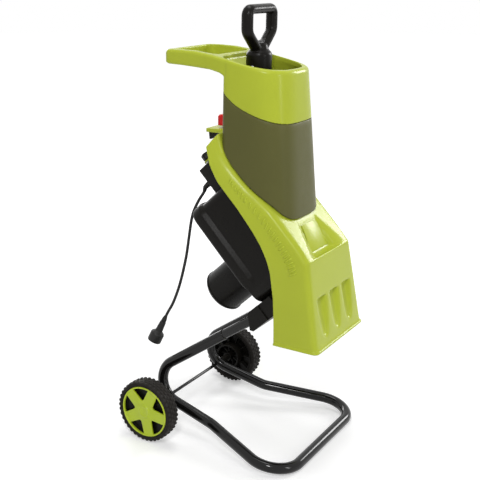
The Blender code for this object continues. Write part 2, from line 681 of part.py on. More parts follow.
def build_motor(deck):
    """Motor can, stator, armature, cooling fan and motor bearings."""
    r, end, wall = MOTOR_RADIUS, MOTOR_END_M, MOTOR_WALL
    seat = SUMP_FLOOR_M - GAP
    inner = r - wall
    profile = [(0.046, end), (r, end + 0.006), (r + 0.0015, end + 0.0075), (r + 0.0015, end + 0.0115),
               (r, end + 0.013), (r, seat - 0.004), (r + 0.005, seat - 0.004), (r + 0.005, seat),
               (inner, seat), (inner, end + 0.008), (0.045, end + wall), (0.014, end + wall),
               (0.014, end + 0.013), (0.011 + GAP, end + 0.013), (0.011 + GAP, end + wall)]
    can = add_piece("motor_can", turned(profile, 20, "Z", (0, MOTOR_U)), "black_plastic", deck)
    vents = []
    for k in range(8):
        angle = math.tau * (k + 0.5) / 8
        outline = [(0.018, -0.003), (0.036, -0.003), (0.036, 0.003), (0.018, 0.003)]
        turned_outline = [(a * math.cos(angle) - b * math.sin(angle),
                           MOTOR_U + a * math.sin(angle) + b * math.cos(angle)) for a, b in outline]
        vents.append(prism(turned_outline, end - 0.01, end + 0.006, "Z"))
    combine(can, add_tool(joined(*vents), deck))
    add_piece("motor_stator", sleeve(0.0295, inner - GAP, 0.325, 0.385, 20, "Z", (0, MOTOR_U)),
              "copper", deck)
    shaft = SHAFT_RADIUS
    boss_low = bearing_levels()[0]
    armature = turned([(shaft, end + 0.0035), (shaft, 0.303), (0.014, 0.303), (0.014, 0.320),
                       (shaft, 0.320), (shaft, 0.327), (0.0285, 0.327), (0.0285, 0.383),
                       (shaft, 0.383), (shaft, SUMP_FLOOR_M + 0.0385)], 14, "Z", (0, MOTOR_U))
    add_piece("armature", armature, "copper", deck)
    star = []
    blades = 10
    for k in range(blades):
        for offset, radius in ((0.0, 0.014), (0.12, 0.042), (0.30, 0.042), (0.42, 0.014)):
            angle = math.tau * (k + offset) / blades
            star.append((radius * math.cos(angle), MOTOR_U + radius * math.sin(angle)))
    fan = add_piece("motor_fan", prism(star, boss_low - 0.0115, boss_low - 0.0035, "Z"),
                    "black_plastic", deck)
    combine(fan, add_tool(rod(shaft + GAP, boss_low - 0.02, boss_low, 16, "Z", (0, MOTOR_U)), deck))
    add_piece("motor_bearing_lower", sleeve(shaft + GAP, 0.011, end + wall + GAP, end + 0.0115, 14,
                                            "Z", (0, MOTOR_U)), "steel", deck)
    add_piece("motor_bearing_upper", sleeve(shaft + GAP, MOTOR_BEARING_RADIUS, boss_low + 0.003,
                                            boss_low + 0.0115, 14, "Z", (0, MOTOR_U)), "steel", deck)


def build_bracket(machine, deck):
    """Wide block that takes the upper arms and carries the hopper's hinge rod."""
    low, front = BRACKET_LOW_U, BRACKET_FRONT_M
    high = CASE_LOW_U - GAP
    half = BRACKET_HALF_WIDTH
    outline = [(high, 0.392), (low + 0.007, 0.369), (low, 0.375), (low, front), (high, front)]
    bracket = add_piece("tube_bracket", prism(outline, -half, half), "black_plastic", deck)
    relief = joined(*[box(sorted((side * (half - BRACKET_RELIEF), side * (half + 0.01))),
                          (low - 0.01, high + 0.01), (BRACKET_RELIEF_M, front + 0.01))
                      for side in (-1, 1)])
    combine(bracket, add_tool(relief, deck))
    lug = [(HINGE_U - HINGE_LUG_RADIUS, front - 0.004), (HINGE_U + HINGE_LUG_RADIUS, front - 0.004)]
    lug += [(HINGE_U + HINGE_LUG_RADIUS * math.cos(math.radians(a)),
             HINGE_M + HINGE_LUG_RADIUS * math.sin(math.radians(a))) for a in range(0, 181, 30)]
    lugs = joined(*[prism(lug, *sorted((side * HINGE_LUG_X[0], side * HINGE_LUG_X[1])))
                    for side in (-1, 1)])
    combine(bracket, add_tool(lugs, deck), "UNION")
    for side in (-1, 1):
        socket = swept([arm_point(0.02, side), arm_point(ARM_REACH + GAP, side)],
                       ARM_RADIUS + GAP, 16)
        combine(bracket, add_tool(socket, machine))
    rod_hole = rod(HINGE_ROD_RADIUS + GAP, -0.11, 0.11, 16, "X", (HINGE_U, HINGE_M))
    bolt_holes = joined(*[rod(BOLT_RADIUS + GAP, 0.04, 0.11, 12, "Y", (x, BOLT_M))
                          for x in (-BOLT_X, BOLT_X)])
    combine(bracket, add_tool(rod_hole, deck))
    combine(bracket, add_tool(bolt_holes, deck))
    add_piece("hinge_rod", rod(HINGE_ROD_RADIUS, -0.1120, 0.1120, 16, "X", (HINGE_U, HINGE_M)),
              "steel", deck)
    for x, word in ((-BOLT_X, "right"), (BOLT_X, "left")):
        bolt = turned([(0.0065, low - 0.0053), (0.0075, low - 0.0040), (0.0075, low - GAP),
                       (BOLT_RADIUS, low - GAP), (BOLT_RADIUS, high + 0.010)], 12, "Y", (x, BOLT_M))
        add_piece(f"bracket_bolt_{word}", bolt, "steel", deck)


def from_deck(u, m):
    """Machine coordinates (y, z) of a point given in deck coordinates."""
    return (u * math.cos(TILT) - m * math.sin(TILT), u * math.sin(TILT) + m * math.cos(TILT))


def front_face_y(z):
    return CHUTE_LIP_FRONT_Y + CHUTE_FRONT_LEAN * (z - CHUTE_LIP_Z)


def housing_rows():
    """Crest (x, y, z) and skirt edge (x, y, z) of the chute housing, from lip to top."""
    skirt_x = CHUTE_HALF_WIDTH
    low = [(skirt_x, CHUTE_LIP_Z, -0.2873, CHUTE_LIP_Z), (0.1175, 0.335, -0.2860, 0.335),
           (0.1145, 0.394, -0.2830, 0.387), (0.1115, 0.446, -0.2790, 0.413)]
    rows = [((x, front_face_y(z), z), (skirt_x, ey, ez)) for x, z, ey, ez in low]
    kink_y, kink_z = from_deck(0.0935, ROOF_M - 0.0035)
    rows.append(((0.1090, kink_y, kink_z), (skirt_x, -0.2740, 0.4450)))
    flat = [(0.130, 0.1554, -0.0735), (0.182, 0.1881, -0.0642), (ROOF_END_U, 0.2221, -0.0591)]
    rows += [((CREST_X, *from_deck(u, ROOF_M)), (skirt_x, *from_deck(edge_u, ROOF_M + below)))
             for u, edge_u, below in flat]
    # Behind the neck: share of the way up, drop from the roof, and the same for the skirt edge
    upper = [(0.314, -0.0123, 0.234, -0.0552), (0.514, -0.0158, 0.4425, -0.0555),
             (0.671, -0.0149, 0.600, -0.0552), (0.830, -0.0085, 0.794, -0.0458),
             (1.0, ROOF_KICK, 0.968, -0.0250)]
    length = HOUSING_TOP_U - ROOF_END_U
    for share, offset, edge_share, edge_offset in upper:
        crest = from_deck(ROOF_END_U + length * share, ROOF_M + offset)
        edge = from_deck(ROOF_END_U + length * edge_share, ROOF_M + edge_offset)
        rows.append(((CREST_X, *crest), (skirt_x - 0.001 * (share == 1.0), *edge)))
    return rows


def roof_z(y):
    """Height of the housing's roof line, which the neck cover stands on."""
    table = [(crest[1], crest[2]) for crest, _ in housing_rows()[3:]]
    return between(y, table)


def housing_section(crest, edge, corner):
    """Points of one cross-section, from the right skirt edge over the front to the left."""
    crest, edge = Vector(crest), Vector(edge)
    middle = Vector((0, crest.y, crest.z))
    to_edge = (edge - crest).normalized() * corner
    to_middle = (middle - crest).normalized() * corner
    half = [edge, edge.lerp(crest + to_edge, 0.5)]
    for k in range(5):
        t = k / 4
        a, b = crest + to_edge, crest + to_middle
        half.append(a * (1 - t) ** 2 + crest * 2 * t * (1 - t) + b * t ** 2)
    half.append(middle.lerp(crest + to_middle, 0.5))
    mirrored = [Vector((-p.x, p.y, p.z)) for p in half]
    return mirrored + [middle] + half[::-1]


def build_housing(machine, deck):
    """Green chute housing: front, roof and skirts in one shell, plus its bare plate."""
    bm = bmesh.new()
    grid = []
    for i, (crest, edge) in enumerate(housing_rows()):
        corner = 0.014 if i < 8 else 0.012
        section = housing_section(crest, edge, corner)
        if i == 0:
            for rise, proud in ((0.0, LIP_PROUD), (0.004, LIP_PROUD), (0.0055, 0.0)):
                centre = Vector((0, (crest[1] + edge[1]) / 2, 0))
                spread = []
                for p in section:
                    outward = Vector((math.copysign(1, p.x) if abs(p.x) > 0.10 else 0.0,
                                      -1.0 if p.y < crest[1] + 0.02 else 0.0, 0))
                    spread.append(p + outward * proud + Vector((0, 0, rise)))
                grid.append(spread)
        else:
            grid.append(section)
    rows = [[bm.verts.new(p) for p in section] for section in grid]
    for low, high in zip(rows, rows[1:]):
        for i in range(len(low) - 1):
            bm.faces.new((low[i], low[i + 1], high[i + 1], high[i]))
    housing = add_piece("chute_housing", bm, "green_plastic", machine, smooth_angle=50)
    wall = housing.modifiers.new("wall", "SOLIDIFY")
    wall.thickness = SHELL_WALL
    wall.offset = -1.0
    wall.use_even_offset = True
    wall_low, wall_high = end_wall_range()
    half = [(0.1160, END_WALL_LOW_M), (0.1095, ROOF_M - 0.0075), (0.1065, ROOF_M - 0.0027),
            (0.1030, ROOF_M + 0.0002), (0.0970, ROOF_M + 0.0022)]
    end_wall = prism(half + [(-x, m) for x, m in half[::-1]], wall_low, wall_high, "Y")
    combine(housing, add_tool(end_wall, deck), "UNION")
    radius = LATCH_TAB_RADIUS
    tab = [(LOCK_X + radius * math.cos(math.radians(a)), LOCK_M + radius * math.sin(math.radians(a)))
           for a in range(180, 361, 20)]
    tab += [(LOCK_X + radius, END_WALL_LOW_M + 0.006), (LOCK_X - radius, END_WALL_LOW_M + 0.006)]
    combine(housing, add_tool(prism(tab, wall_low, wall_high, "Y"), deck), "UNION")
    bosses = joined(*[rod(0.0105, *sorted((side * 0.1050, side * 0.1175)), 16, "X",
                          (HINGE_U, HINGE_M)) for side in (-1, 1)])
    combine(housing, add_tool(bosses, deck), "UNION")
    pin_holes = joined(*[rod(HINGE_ROD_RADIUS + GAP, *sorted((side * 0.1020, side * 0.1125)), 16,
                             "X", (HINGE_U, HINGE_M)) for side in (-1, 1)])
    combine(housing, add_tool(pin_holes, deck))
    end_y, end_z = from_deck(HOUSING_TOP_U, ROOF_M + ROOF_KICK)
    top, low = shelf_levels()
    shelf = prism([(end_y - 0.0009, top), (SHELF_REAR_Y, top), (SHELF_REAR_Y, low),
                   (end_y + 0.0211, low), (end_y + 0.0101, end_z - 0.0250),
                   (end_y + 0.0011, end_z - 0.0150)], -SHELF_HALF_WIDTH, SHELF_HALF_WIDTH)
    combine(housing, add_tool(shelf, machine), "UNION")
    combine(housing, add_tool(throat_passage(0.0004), machine))
    screw_hole = rod(0.004 + GAP, wall_low - 0.01, wall_high + 0.01, 12, "Y", (LOCK_X, LOCK_M))
    combine(housing, add_tool(screw_hole, deck))
    roof_edge = [(0.0925, -0.0062), (0.0985, -0.0045), (0.130, -0.0015), (0.192, -0.0015)]
    thin = roof_edge + [(0.191, -0.0035), (0.106, -0.0065), (0.094, -0.0080)]
    deep = roof_edge + [(0.184, -0.0050), (0.106, -0.0230), (0.088, -0.0180)]
    backing = solid_loft([[(x, u, ROOF_M + m) for u, m in profile] for x, profile in
                          ((-0.088, thin), (-0.047, deep), (0.047, deep), (0.088, thin))])
    combine(housing, add_tool(backing, deck), "UNION")
    combine(housing, add_tool(deck_loft([(0.050, 0.1000, -0.0115), (0.042, 0.184, -0.0002)],
                                        [(0.096, 0.0930, 0.005), (0.070, 0.186, 0.005)]), deck))
    combine(housing, add_tool(deck_loft(POCKET_FLOOR, [(0.0615, 0.0915, 0.005),
                                                       (0.040, 0.186, 0.005)]), deck))
    for x in (-0.064, 0.0, 0.064):
        combine(housing, add_tool(chute_flute(x, 0.003), machine), "UNION")
    for x in (-0.064, 0.0, 0.064):
        combine(housing, add_tool(chute_flute(x, 0.0), machine))
    (_, low_u, low_m), (_, high_u, high_m) = POCKET_FLOOR
    slope = (high_m - low_m) / (high_u - low_u)
    plate = [[(half, u, low_m + slope * (u - low_u) + rise) for half, u in PLATE_OUTLINE]
             for rise in (2 * GAP, 0.0018)]
    add_piece("name_plate", deck_loft(*plate), "green_plastic", deck)


def deck_loft(low, high):
    """Solid between two four-cornered loops, each given by its low and its high end.

    An end is (half-width, u, height above the roof plane).
    """
    def ring(ends):
        (low_x, low_u, low_m), (high_x, high_u, high_m) = ends
        return [(-low_x, low_u, ROOF_M + low_m), (low_x, low_u, ROOF_M + low_m),
                (high_x, high_u, ROOF_M + high_m), (-high_x, high_u, ROOF_M + high_m)]
    return solid_loft([ring(low), ring(high)])


def end_wall_range():
    """Inner and outer face of the housing's end wall along the deck."""
    outer = HOUSING_TOP_U - END_WALL_INSET
    return outer - END_WALL, outer


def shelf_levels():
    """Upper and lower face of the shelf that carries the stop button."""
    top = from_deck(HOUSING_TOP_U, ROOF_M + ROOF_KICK)[1] - SHELF_DROP
    return top, top - SHELF_THICKNESS


def chute_flute(x, margin):
    """Tapering flute in the chute's front, deepest at its top. A margin makes its backing."""
    loops = []
    for z, half, depth in ((0.311 - margin, 0.0117, 0.0010), (0.393 + margin, 0.0188, 0.0055)):
        y = front_face_y(z)
        face = y + 0.0012 if margin else y - 0.02
        wide, narrow = half + margin, half * 0.8 + margin
        loops.append([(x - wide, face, z), (x + wide, face, z), (x + narrow, y + depth + margin, z),
                      (x - narrow, y + depth + margin, z)])
    return solid_loft(loops)


def super_ellipse(half_width, front, rear, front_power, rear_power, count=32):
    """Rounded outline about the neck's middle, from its front centre round to the left."""
    points = []
    for k in range(count):
        angle = math.tau * k / count - math.pi / 2
        c, s = math.cos(angle), math.sin(angle)
        reach, power = (front, front_power) if s < 0 else (rear, rear_power)
        x = math.copysign(abs(c) ** (2 / power), c) * half_width if abs(c) > 1e-9 else 0.0
        points.append((x, NECK_CENTRE_Y + math.copysign(abs(s) ** (2 / power), s) * reach))
    return points


def neck_outline(z, inset=0.0):
    """Plan outline of the hopper neck at a height."""
    down = (MOUTH_TOP_Z - z) / (MOUTH_TOP_Z - NECK_FOOT_Z)
    return super_ellipse(0.0965 + 0.0045 * down - inset, 0.1050 + 0.0270 * down - inset,
                         NECK_REAR_REACH - inset, 2.9 + 1.1 * down, 6.0)


def rim_z(y):
    """Height of the hopper's top edge, which falls towards the front."""
    t = min(max((y + 0.300) / 0.270, 0.0), 1.0)
    return RIM_FRONT_Z + RIM_RISE * t * t * (3 - 2 * t)


def loop_underside_z(y):
    """Underside of the carry loop, which curves down into the neck."""
    return between(y, [(-0.175, 0.8280), (-0.1600, 0.8385), (-0.1497, 0.8471), (-0.1397, 0.8538),
                       (-0.1300, 0.8587), (-0.1240, 0.8612), (-0.1150, 0.8640), (-0.1027, 0.8661),
                       (-0.0758, 0.8682), (-0.0488, 0.8701), (-0.0217, 0.8718), (0.0138, 0.8729)])


def upper_seam_z(y):
    """Edge between the bright hopper and the neck cover: level in front, rising behind."""
    t = min(max((y + 0.285) / 0.143, 0.0), 1.08)
    return SEAM_FRONT_Z + SEAM_RISE * t ** 1.3 + SEAM_KICK * t ** 6


def neck_loop(height, inset=0.0):
    """Loop round the neck where its wall meets a height that is a function of y."""
    loop = []
    for i in range(32):
        x, y, z = 0.0, NECK_CENTRE_Y, 0.8
        for _ in range(4):
            z = height(y)
            x, y = neck_outline(z, inset)[i]
        loop.append((x, y, z))
    return loop


def neck_loops(low_z, high_z, inset, levels):
    """Loops up the neck between two edge curves that are functions of y."""
    def at_share(t):
        return neck_loop(lambda y: low_z(y) * (1 - t) + high_z(y) * t, inset)
    return [at_share(k / levels) for k in range(levels + 1)]


def loop_outline(inset=0.0):
    """Plan outline of the slab behind the mouth, from which the carry loop is cut."""
    rear_x, rear_y, radius = LOOP_HALF_WIDTH - inset, LOOP_REAR_Y - inset, 0.013
    half = [(x - inset, y) for x, y in ((0.0935, -0.172), (0.0948, -0.150), (0.0952, -0.125),
                                        (0.0940, -0.100), (0.0927, -0.060), (0.0925, -0.025))]
    half += [(rear_x - radius + radius * math.cos(math.radians(a)),
              rear_y - radius + radius * math.sin(math.radians(a))) for a in (0, 30, 60, 90)]
    return [(0.0, -0.172)] + half + [(-x, y) for x, y in half[::-1]]


def build_hopper(machine):
    """Bright hopper top with mouth and carry loop, olive neck cover and inner throat."""
    def seam(y):
        return upper_seam_z(y) + GAP

    shoulder = RIM_ROUND[0][0]
    neck = neck_loops(seam, lambda y: rim_z(y) - shoulder, 0.0, 2)
    neck += [neck_loop(lambda y, depth=depth: rim_z(y) - depth, inset)
             for depth, inset in RIM_ROUND[1:]]
    hopper = add_piece("hopper_top", solid_loft(neck, strips=True), "green_plastic", machine,
                       smooth_angle=50)
    slab = [[(x, y, loop_underside_z(y) + rise) for x, y in loop_outline(inset)]
            for rise, inset in ((0.0, 0.0045), (0.0045, 0.0))]
    slab += [[(x, y, rim_z(y) - depth) for x, y in loop_outline(inset)] for depth, inset in RIM_ROUND]
    combine(hopper, add_tool(solid_loft(slab, strips=True), machine), "UNION")
    mouth = super_ellipse(MOUTH_HALF_WIDTH, NECK_CENTRE_Y - MOUTH_FRONT_Y,
                          MOUTH_REAR_Y - NECK_CENTRE_Y, 2.6, 4.0)
    bore = [neck_loop(lambda y: upper_seam_z(y) - 0.05, NECK_WALL),
            neck_loop(lambda y: rim_z(y) - MOUTH_FLARE, NECK_WALL)]
    bore += [[(x, y, rim_z(y) + rise) for x, y in mouth] for rise in (-MOUTH_LIP, 0.03)]
    combine(hopper, add_tool(solid_loft(bore, strips=True), machine))
    hole_x = LOOP_HALF_WIDTH - LOOP_ARM
    hole = rounded_rectangle(-hole_x, hole_x, MOUTH_REAR_Y + DIVIDER, LOOP_REAR_Y - LOOP_BAR, 0.016)
    combine(hopper, add_tool(prism(hole, 0.80, 0.95, "Z"), machine))

    def cover_low(y):
        return roof_z(y) - 0.012

    def cover_high(y):
        return upper_seam_z(y) - GAP

    cover = add_piece("neck_cover", shell_loft(
        neck_loops(cover_low, cover_high, 0.0, 3), neck_loops(cover_low, cover_high, NECK_WALL, 3)),
        "olive_plastic", machine, smooth_angle=50)
    crests = [crest for crest, _ in housing_rows()]
    under_roof = [(-0.50, 0.30), (-0.50, 0.32)] + [(y, z + 0.0005) for _, y, z in crests]
    under_roof += [(-0.05, crests[-1][2] + 0.0005), (-0.05, 0.30)]
    combine(cover, add_tool(prism(under_roof, -0.2, 0.2), machine))
    build_throat(machine)


def throat_outline(margin=0.0, rear=THROAT_REAR_Y, front=THROAT_FRONT_Y):
    return rounded_rectangle(-THROAT_HALF_WIDTH - margin, THROAT_HALF_WIDTH + margin,
                             front - margin, rear + margin, 0.012 + margin, 3)


def throat_foot(inset):
    """Slanted lower end of the duct, level with the tilted disc."""
    outline = throat_outline(-inset, THROAT_FOOT_REAR_Y, THROAT_FOOT_FRONT_Y)
    return [(x, y, (THROAT_FOOT_M + y * math.sin(TILT)) / math.cos(TILT)) for x, y in outline]


def throat_passage(margin):
    """The space that the duct takes through the housing's roof."""
    straight = [[(x, y, z) for x, y in throat_outline(margin)] for z in (0.735, THROAT_BEND_Z)]
    return solid_loft(straight + [throat_foot(-margin)])


def build_throat(machine):
    """Funnel, ledge for the tamper's stop and duct that lead from the mouth to the disc."""
    flare_x, flare_front, flare_rear = 0.082, -0.250, -0.1365
    ledge_x, ledge_front = 0.062, -0.212
    wall = THROAT_WALL

    def at_height(points, z):
        return [(x, y, z) for x, y in points]

    def levels(inset, drop):
        flare = rounded_rectangle(-flare_x + inset, flare_x - inset, flare_front + inset,
                                  flare_rear - inset, 0.034, 3)
        ledge = rounded_rectangle(-ledge_x + inset, ledge_x - inset, ledge_front + inset,
                                  flare_rear - inset, 0.016, 3)
        return [at_height(flare, 0.790), at_height(flare, 0.780), at_height(ledge, 0.728),
                at_height(ledge, LEDGE_Z - drop), at_height(throat_outline(-inset), LEDGE_Z - drop),
                at_height(throat_outline(-inset), THROAT_BEND_Z), throat_foot(inset)]

    add_piece("feed_throat", shell_loft(levels(0.0, wall), levels(wall, 0.0)), "black_plastic",
              machine)


def build_tamper(machine):
    """Push-down tamper: grip with collar, shaft, paddle and cross pin."""
    spread, top = GRIP_SPREAD, GRIP_TOP_Z - 0.0105
    corners = [(0.0115, 0.885), (0.0120, 0.912), (spread - 0.012, 0.936), (spread, 0.960),
               (spread, top), (-spread, top), (-spread, 0.960), (-spread + 0.012, 0.936),
               (-0.0120, 0.912), (-0.0115, 0.885)]
    radii = [0.02, 0.05, 0.03, 0.0125, 0.0125, 0.03, 0.05, 0.02]
    path = [Vector((p[0], 0, p[1])) for p in corners]
    path = rounded_path(path, radii, 36.0)
    grip = add_piece("tamper_grip", swept(path, 0.0105, 8, GRIP_HALF_DEPTH, (0, 1, 0)),
                     "black_plastic", machine, (0, TAMPER_Y, 0))
    r = COLLAR_RADIUS
    collar = turned([(r - 0.001, 0.846), (r, 0.848), (r, 0.899), (r - 0.006, 0.905),
                     (0.0200, 0.909), (0.0190, 0.922)], 20)
    combine(grip, add_tool(collar, machine, (0, TAMPER_Y, 0)), "UNION")
    socket = rod(0.0125 + GAP, 0.80, 0.880, 20)
    combine(grip, add_tool(socket, machine, (0, TAMPER_Y, 0)))
    pin_hole = rod(0.0025 + GAP, -0.05, 0.05, 12, "X", (0, 0.868))
    combine(grip, add_tool(pin_hole, machine, (0, TAMPER_Y, 0)))
    shaft = add_piece("tamper_shaft", rod(0.0125, 0.701, 0.8797, 20), "black_plastic", machine,
                      (0, TAMPER_Y, 0))
    combine(shaft, add_tool(rod(0.0025 + GAP, -0.05, 0.05, 12, "X", (0, 0.868)), machine,
                            (0, TAMPER_Y, 0)))
    pin = turned([(0.0045, -r - 0.0018), (0.0052, -r - 0.0003), (0.0025, -r - 0.0002),
                  (0.0025, r - 0.002)], 12, "X", (0, 0.868))
    add_piece("tamper_pin", pin, "steel", machine, (0, TAMPER_Y, 0))
    foot = rounded_rectangle(-0.049, 0.049, -0.026, 0.026, 0.010, 2)
    stop = rounded_rectangle(-0.0575, 0.0575, -0.0290, 0.0290, 0.012, 2)
    paddle = add_piece("tamper_paddle", prism(foot, 0.692, 0.701 - GAP, "Z"), "black_plastic",
                       machine, (0, TAMPER_Y, 0))
    web = box((-0.040, 0.040), (-0.0165, 0.0165), (0.697, 0.745))
    combine(paddle, add_tool(web, machine, (0, TAMPER_Y, 0)), "UNION")
    plate = prism(stop, LEDGE_Z + GAP, LEDGE_Z + 0.005, "Z")
    combine(paddle, add_tool(plate, machine, (0, TAMPER_Y, 0)), "UNION")
    combine(paddle, add_tool(rod(0.0125 + GAP, 0.7007, 0.80, 20), machine, (0, TAMPER_Y, 0)))


def build_controls(machine, deck):
    """Switch box, lock knob and screw, red button on its shelf, cord gland."""
    wall_low, wall_high = end_wall_range()
    u_low, u_high = CASE_HIGH_U + GAP, wall_low - SWITCH_BOX_CLEARANCE
    m_low, m_high = SWITCH_BOX_M
    outline = [(u_low, m_low), (u_high, m_low), (u_high, m_high - 0.032), (u_high - 0.007, m_high),
               (u_low, m_high)]
    switch_box = add_piece("switch_box", prism(outline, *SWITCH_BOX_X), "black_plastic", deck)
    screw_low = wall_low - LOCK_SCREW_REACH
    slot = box((LOCK_X - 0.0050, LOCK_X + 0.0050), (screw_low - 0.0095, wall_low),
               (LOCK_M - 0.0050, m_high + 0.03))
    combine(switch_box, add_tool(slot, deck))
    knob_low = wall_high + GAP
    lobes = []
    for k in range(24):
        angle = math.tau * k / 24
        radius = LOCK_RADIUS * (0.93 + 0.07 * math.cos(6 * angle))
        lobes.append((LOCK_X + radius * math.cos(angle), LOCK_M + radius * math.sin(angle)))
    shrunk = [(LOCK_X + (x - LOCK_X) * 0.8, LOCK_M + (m - LOCK_M) * 0.8) for x, m in lobes]
    loops = [[(x, u, m) for x, m in ring] for u, ring in
             ((knob_low, shrunk), (knob_low + 0.003, lobes),
              (knob_low + LOCK_LENGTH - 0.003, lobes), (knob_low + LOCK_LENGTH, shrunk))]
    knob = add_piece("lock_knob", solid_loft(loops), "black_plastic", deck)
    combine(knob, add_tool(rod(0.004 + GAP, 0.40, knob_low + 0.010, 12, "Y", (LOCK_X, LOCK_M)), deck))
    screw = turned([(0.004, screw_low), (0.004, knob_low + 0.0095)], 12, "Y", (LOCK_X, LOCK_M))
    add_piece("lock_screw", screw, "steel", deck)
    shelf_top, shelf_low = shelf_levels()
    pod_top = shelf_low - GAP
    pod = prism([(-0.1000, pod_top), (-0.0570, pod_top), (-0.0590, pod_top - 0.0165),
                 (-0.0625, pod_top - 0.0170), (-0.0850, pod_top - 0.0045)], -0.026, 0.026)
    pod_piece = add_piece("switch_pod", pod, "black_plastic", machine)
    guide = box((-0.0105, 0.0105), (BUTTON_Y - 0.0110, BUTTON_Y + 0.0110),
                (pod_top - 0.0140, pod_top - 0.0005))
    combine(pod_piece, add_tool(guide, machine), "UNION")
    bore = STEM_HALF_WIDTH + GAP
    stem_hole = box((-bore, bore), (BUTTON_Y - bore, BUTTON_Y + bore), (pod_top - 0.0125, shelf_top))
    combine(pod_piece, add_tool(stem_hole, machine))
    shelf_hole = box((-bore, bore), (BUTTON_Y - bore, BUTTON_Y + bore),
                     (shelf_low - 0.01, shelf_top + 0.01))
    combine(bpy.data.objects["chute_housing"], add_tool(shelf_hole, machine))
    half = BUTTON_HALF_WIDTH
    low = shelf_top + BUTTON_TRAVEL_GAP
    cap = rounded_rectangle(-half, half, BUTTON_Y - half, BUTTON_Y + half, 0.005, 2)
    crown = [(x * 0.85, BUTTON_Y + (y - BUTTON_Y) * 0.85) for x, y in cap]
    levels = ((cap, 0.0), (cap, BUTTON_HEIGHT - 0.003), (crown, BUTTON_HEIGHT))
    button = add_piece("stop_button", solid_loft([[(x, y, low + rise) for x, y in ring]
                                                  for ring, rise in levels]), "red_plastic", machine)
    stem = box((-STEM_HALF_WIDTH, STEM_HALF_WIDTH),
               (BUTTON_Y - STEM_HALF_WIDTH, BUTTON_Y + STEM_HALF_WIDTH),
               (pod_top - 0.0075, low + 0.0005))
    combine(button, add_tool(stem, machine), "UNION")
    gland_top = m_low - GAP
    gland = turned([(0.0042, gland_top - GLAND_LENGTH), (0.0060, gland_top - 0.007),
                    (0.0085, gland_top - 0.005), (0.0085, gland_top)], 16, "Z", (GLAND_X, GLAND_U))
    add_piece("cord_gland", gland, "black_plastic", deck)


def build_cord(machine):
    """The short lead, hanging from its gland, and its hooded plug."""
    gland_end = SWITCH_BOX_M[0] - 2 * GAP - GLAND_LENGTH
    out = Vector((0, *from_deck(0, -1)))
    start = Vector((GLAND_X, *from_deck(GLAND_U, gland_end))) + out * 0.0012
    route = [start, start + out * 0.004,
             (-0.0505, -0.0607, 0.5817), (-0.0515, -0.0477, 0.5611), (-0.0530, -0.0348, 0.5344),
             (-0.0540, -0.0285, 0.5107), (-0.0550, -0.0249, 0.4860), (-0.0565, -0.0202, 0.4487),
             (-0.0575, -0.0166, 0.4235), (-0.0585, -0.0115, 0.3979), (-0.0610, -0.0044, 0.3645),
             (-0.0640, 0.0038, 0.3333), (-0.0680, 0.0159, 0.2986), (-0.0720, 0.0281, 0.2740),
             (-0.0740, 0.0328, 0.2632)]
    smooth = smooth_route([Vector(p) for p in route], 34)
    curve = bpy.data.curves.new("power_cord", "CURVE")
    curve.dimensions = "3D"
    curve.bevel_depth = CORD_RADIUS
    curve.bevel_resolution = 2
    curve.render_resolution_u = 0
    curve.use_fill_caps = True
    spline = curve.splines.new("POLY")
    spline.points.add(len(smooth) - 1)
    for point, position in zip(spline.points, smooth):
        point.co = (*position, 1.0)
    curve.materials.append(material("black_plastic"))
    cord = bpy.data.objects.new("power_cord", curve)
    bpy.context.collection.objects.link(cord)
    cord.parent = machine
    end = smooth[-1]
    along = (PLUG_END - end).normalized()
    profile = [(0.0042, GAP), (0.0065, 0.0130), (0.0074, 0.0150), (0.0090, 0.0420),
               (0.0160, 0.0480), (0.0170, 0.0505), (0.0170, 0.0715), (0.0145, 0.0715),
               (0.0145, 0.0600), (0.0100, 0.0600)]
    plug = add_piece("plug", turned(profile, 14), "black_plastic", machine, end)
    plug.rotation_euler = along.to_track_quat("Z", "Y").to_euler()


def smooth_route(points, count):
    """Even points along a Catmull-Rom curve through the route."""
    padded = [points[0] * 2 - points[1]] + points + [points[-1] * 2 - points[-2]]
    dense = []
    for a, b, c, d in zip(padded, padded[1:], padded[2:], padded[3:]):
        for k in range(12):
            t = k / 12
            dense.append(0.5 * (2 * b + (c - a) * t + (2 * a - 5 * b + 4 * c - d) * t * t
                                + (3 * b - 3 * c + d - a) * t ** 3))
    dense.append(points[-1])
    lengths = [0.0]
    for a, b in zip(dense, dense[1:]):
        lengths.append(lengths[-1] + (b - a).length)
    even = []
    for k in range(count):
        target = lengths[-1] * k / (count - 1)
        i = min(max(bisect.bisect_left(lengths, target), 1), len(dense) - 1)
        span = lengths[i] - lengths[i - 1]
        even.append(dense[i - 1].lerp(dense[i], (target - lengths[i - 1]) / span))
    return even


def main():
    for old in list(bpy.data.objects):
        bpy.data.objects.remove(old, do_unlink=True)
    machine = add_empty("machine", location=(0, AXLE_Y, 0))
    deck = add_empty("deck", machine, tilt=TILT)
    build_stand(machine)
    build_wheels(machine)
    build_motor_base(deck)
    build_deck(deck)
    build_motor(deck)
    build_bracket(machine, deck)
    build_housing(machine, deck)
    build_hopper(machine)
    build_tamper(machine)
    build_controls(machine, deck)
    build_cord(machine)


main()
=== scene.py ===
"""Looks of the electric wood chipper: camera, light, finishes, and the finer shapes.

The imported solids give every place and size. Points are written in the machine's own
coordinates (Y = 0 over the wheel axle), or in deck coordinates that follow the tilted motor
housing: u runs up along it, m is square to the cutting disc, pointing up and forward.
"""
import bisect
import json
from math import copysign, cos, degrees, pi, radians, sin, tan, tau

import bmesh
import bpy
from mathutils import Matrix, Vector
from mathutils.bvhtree import BVHTree


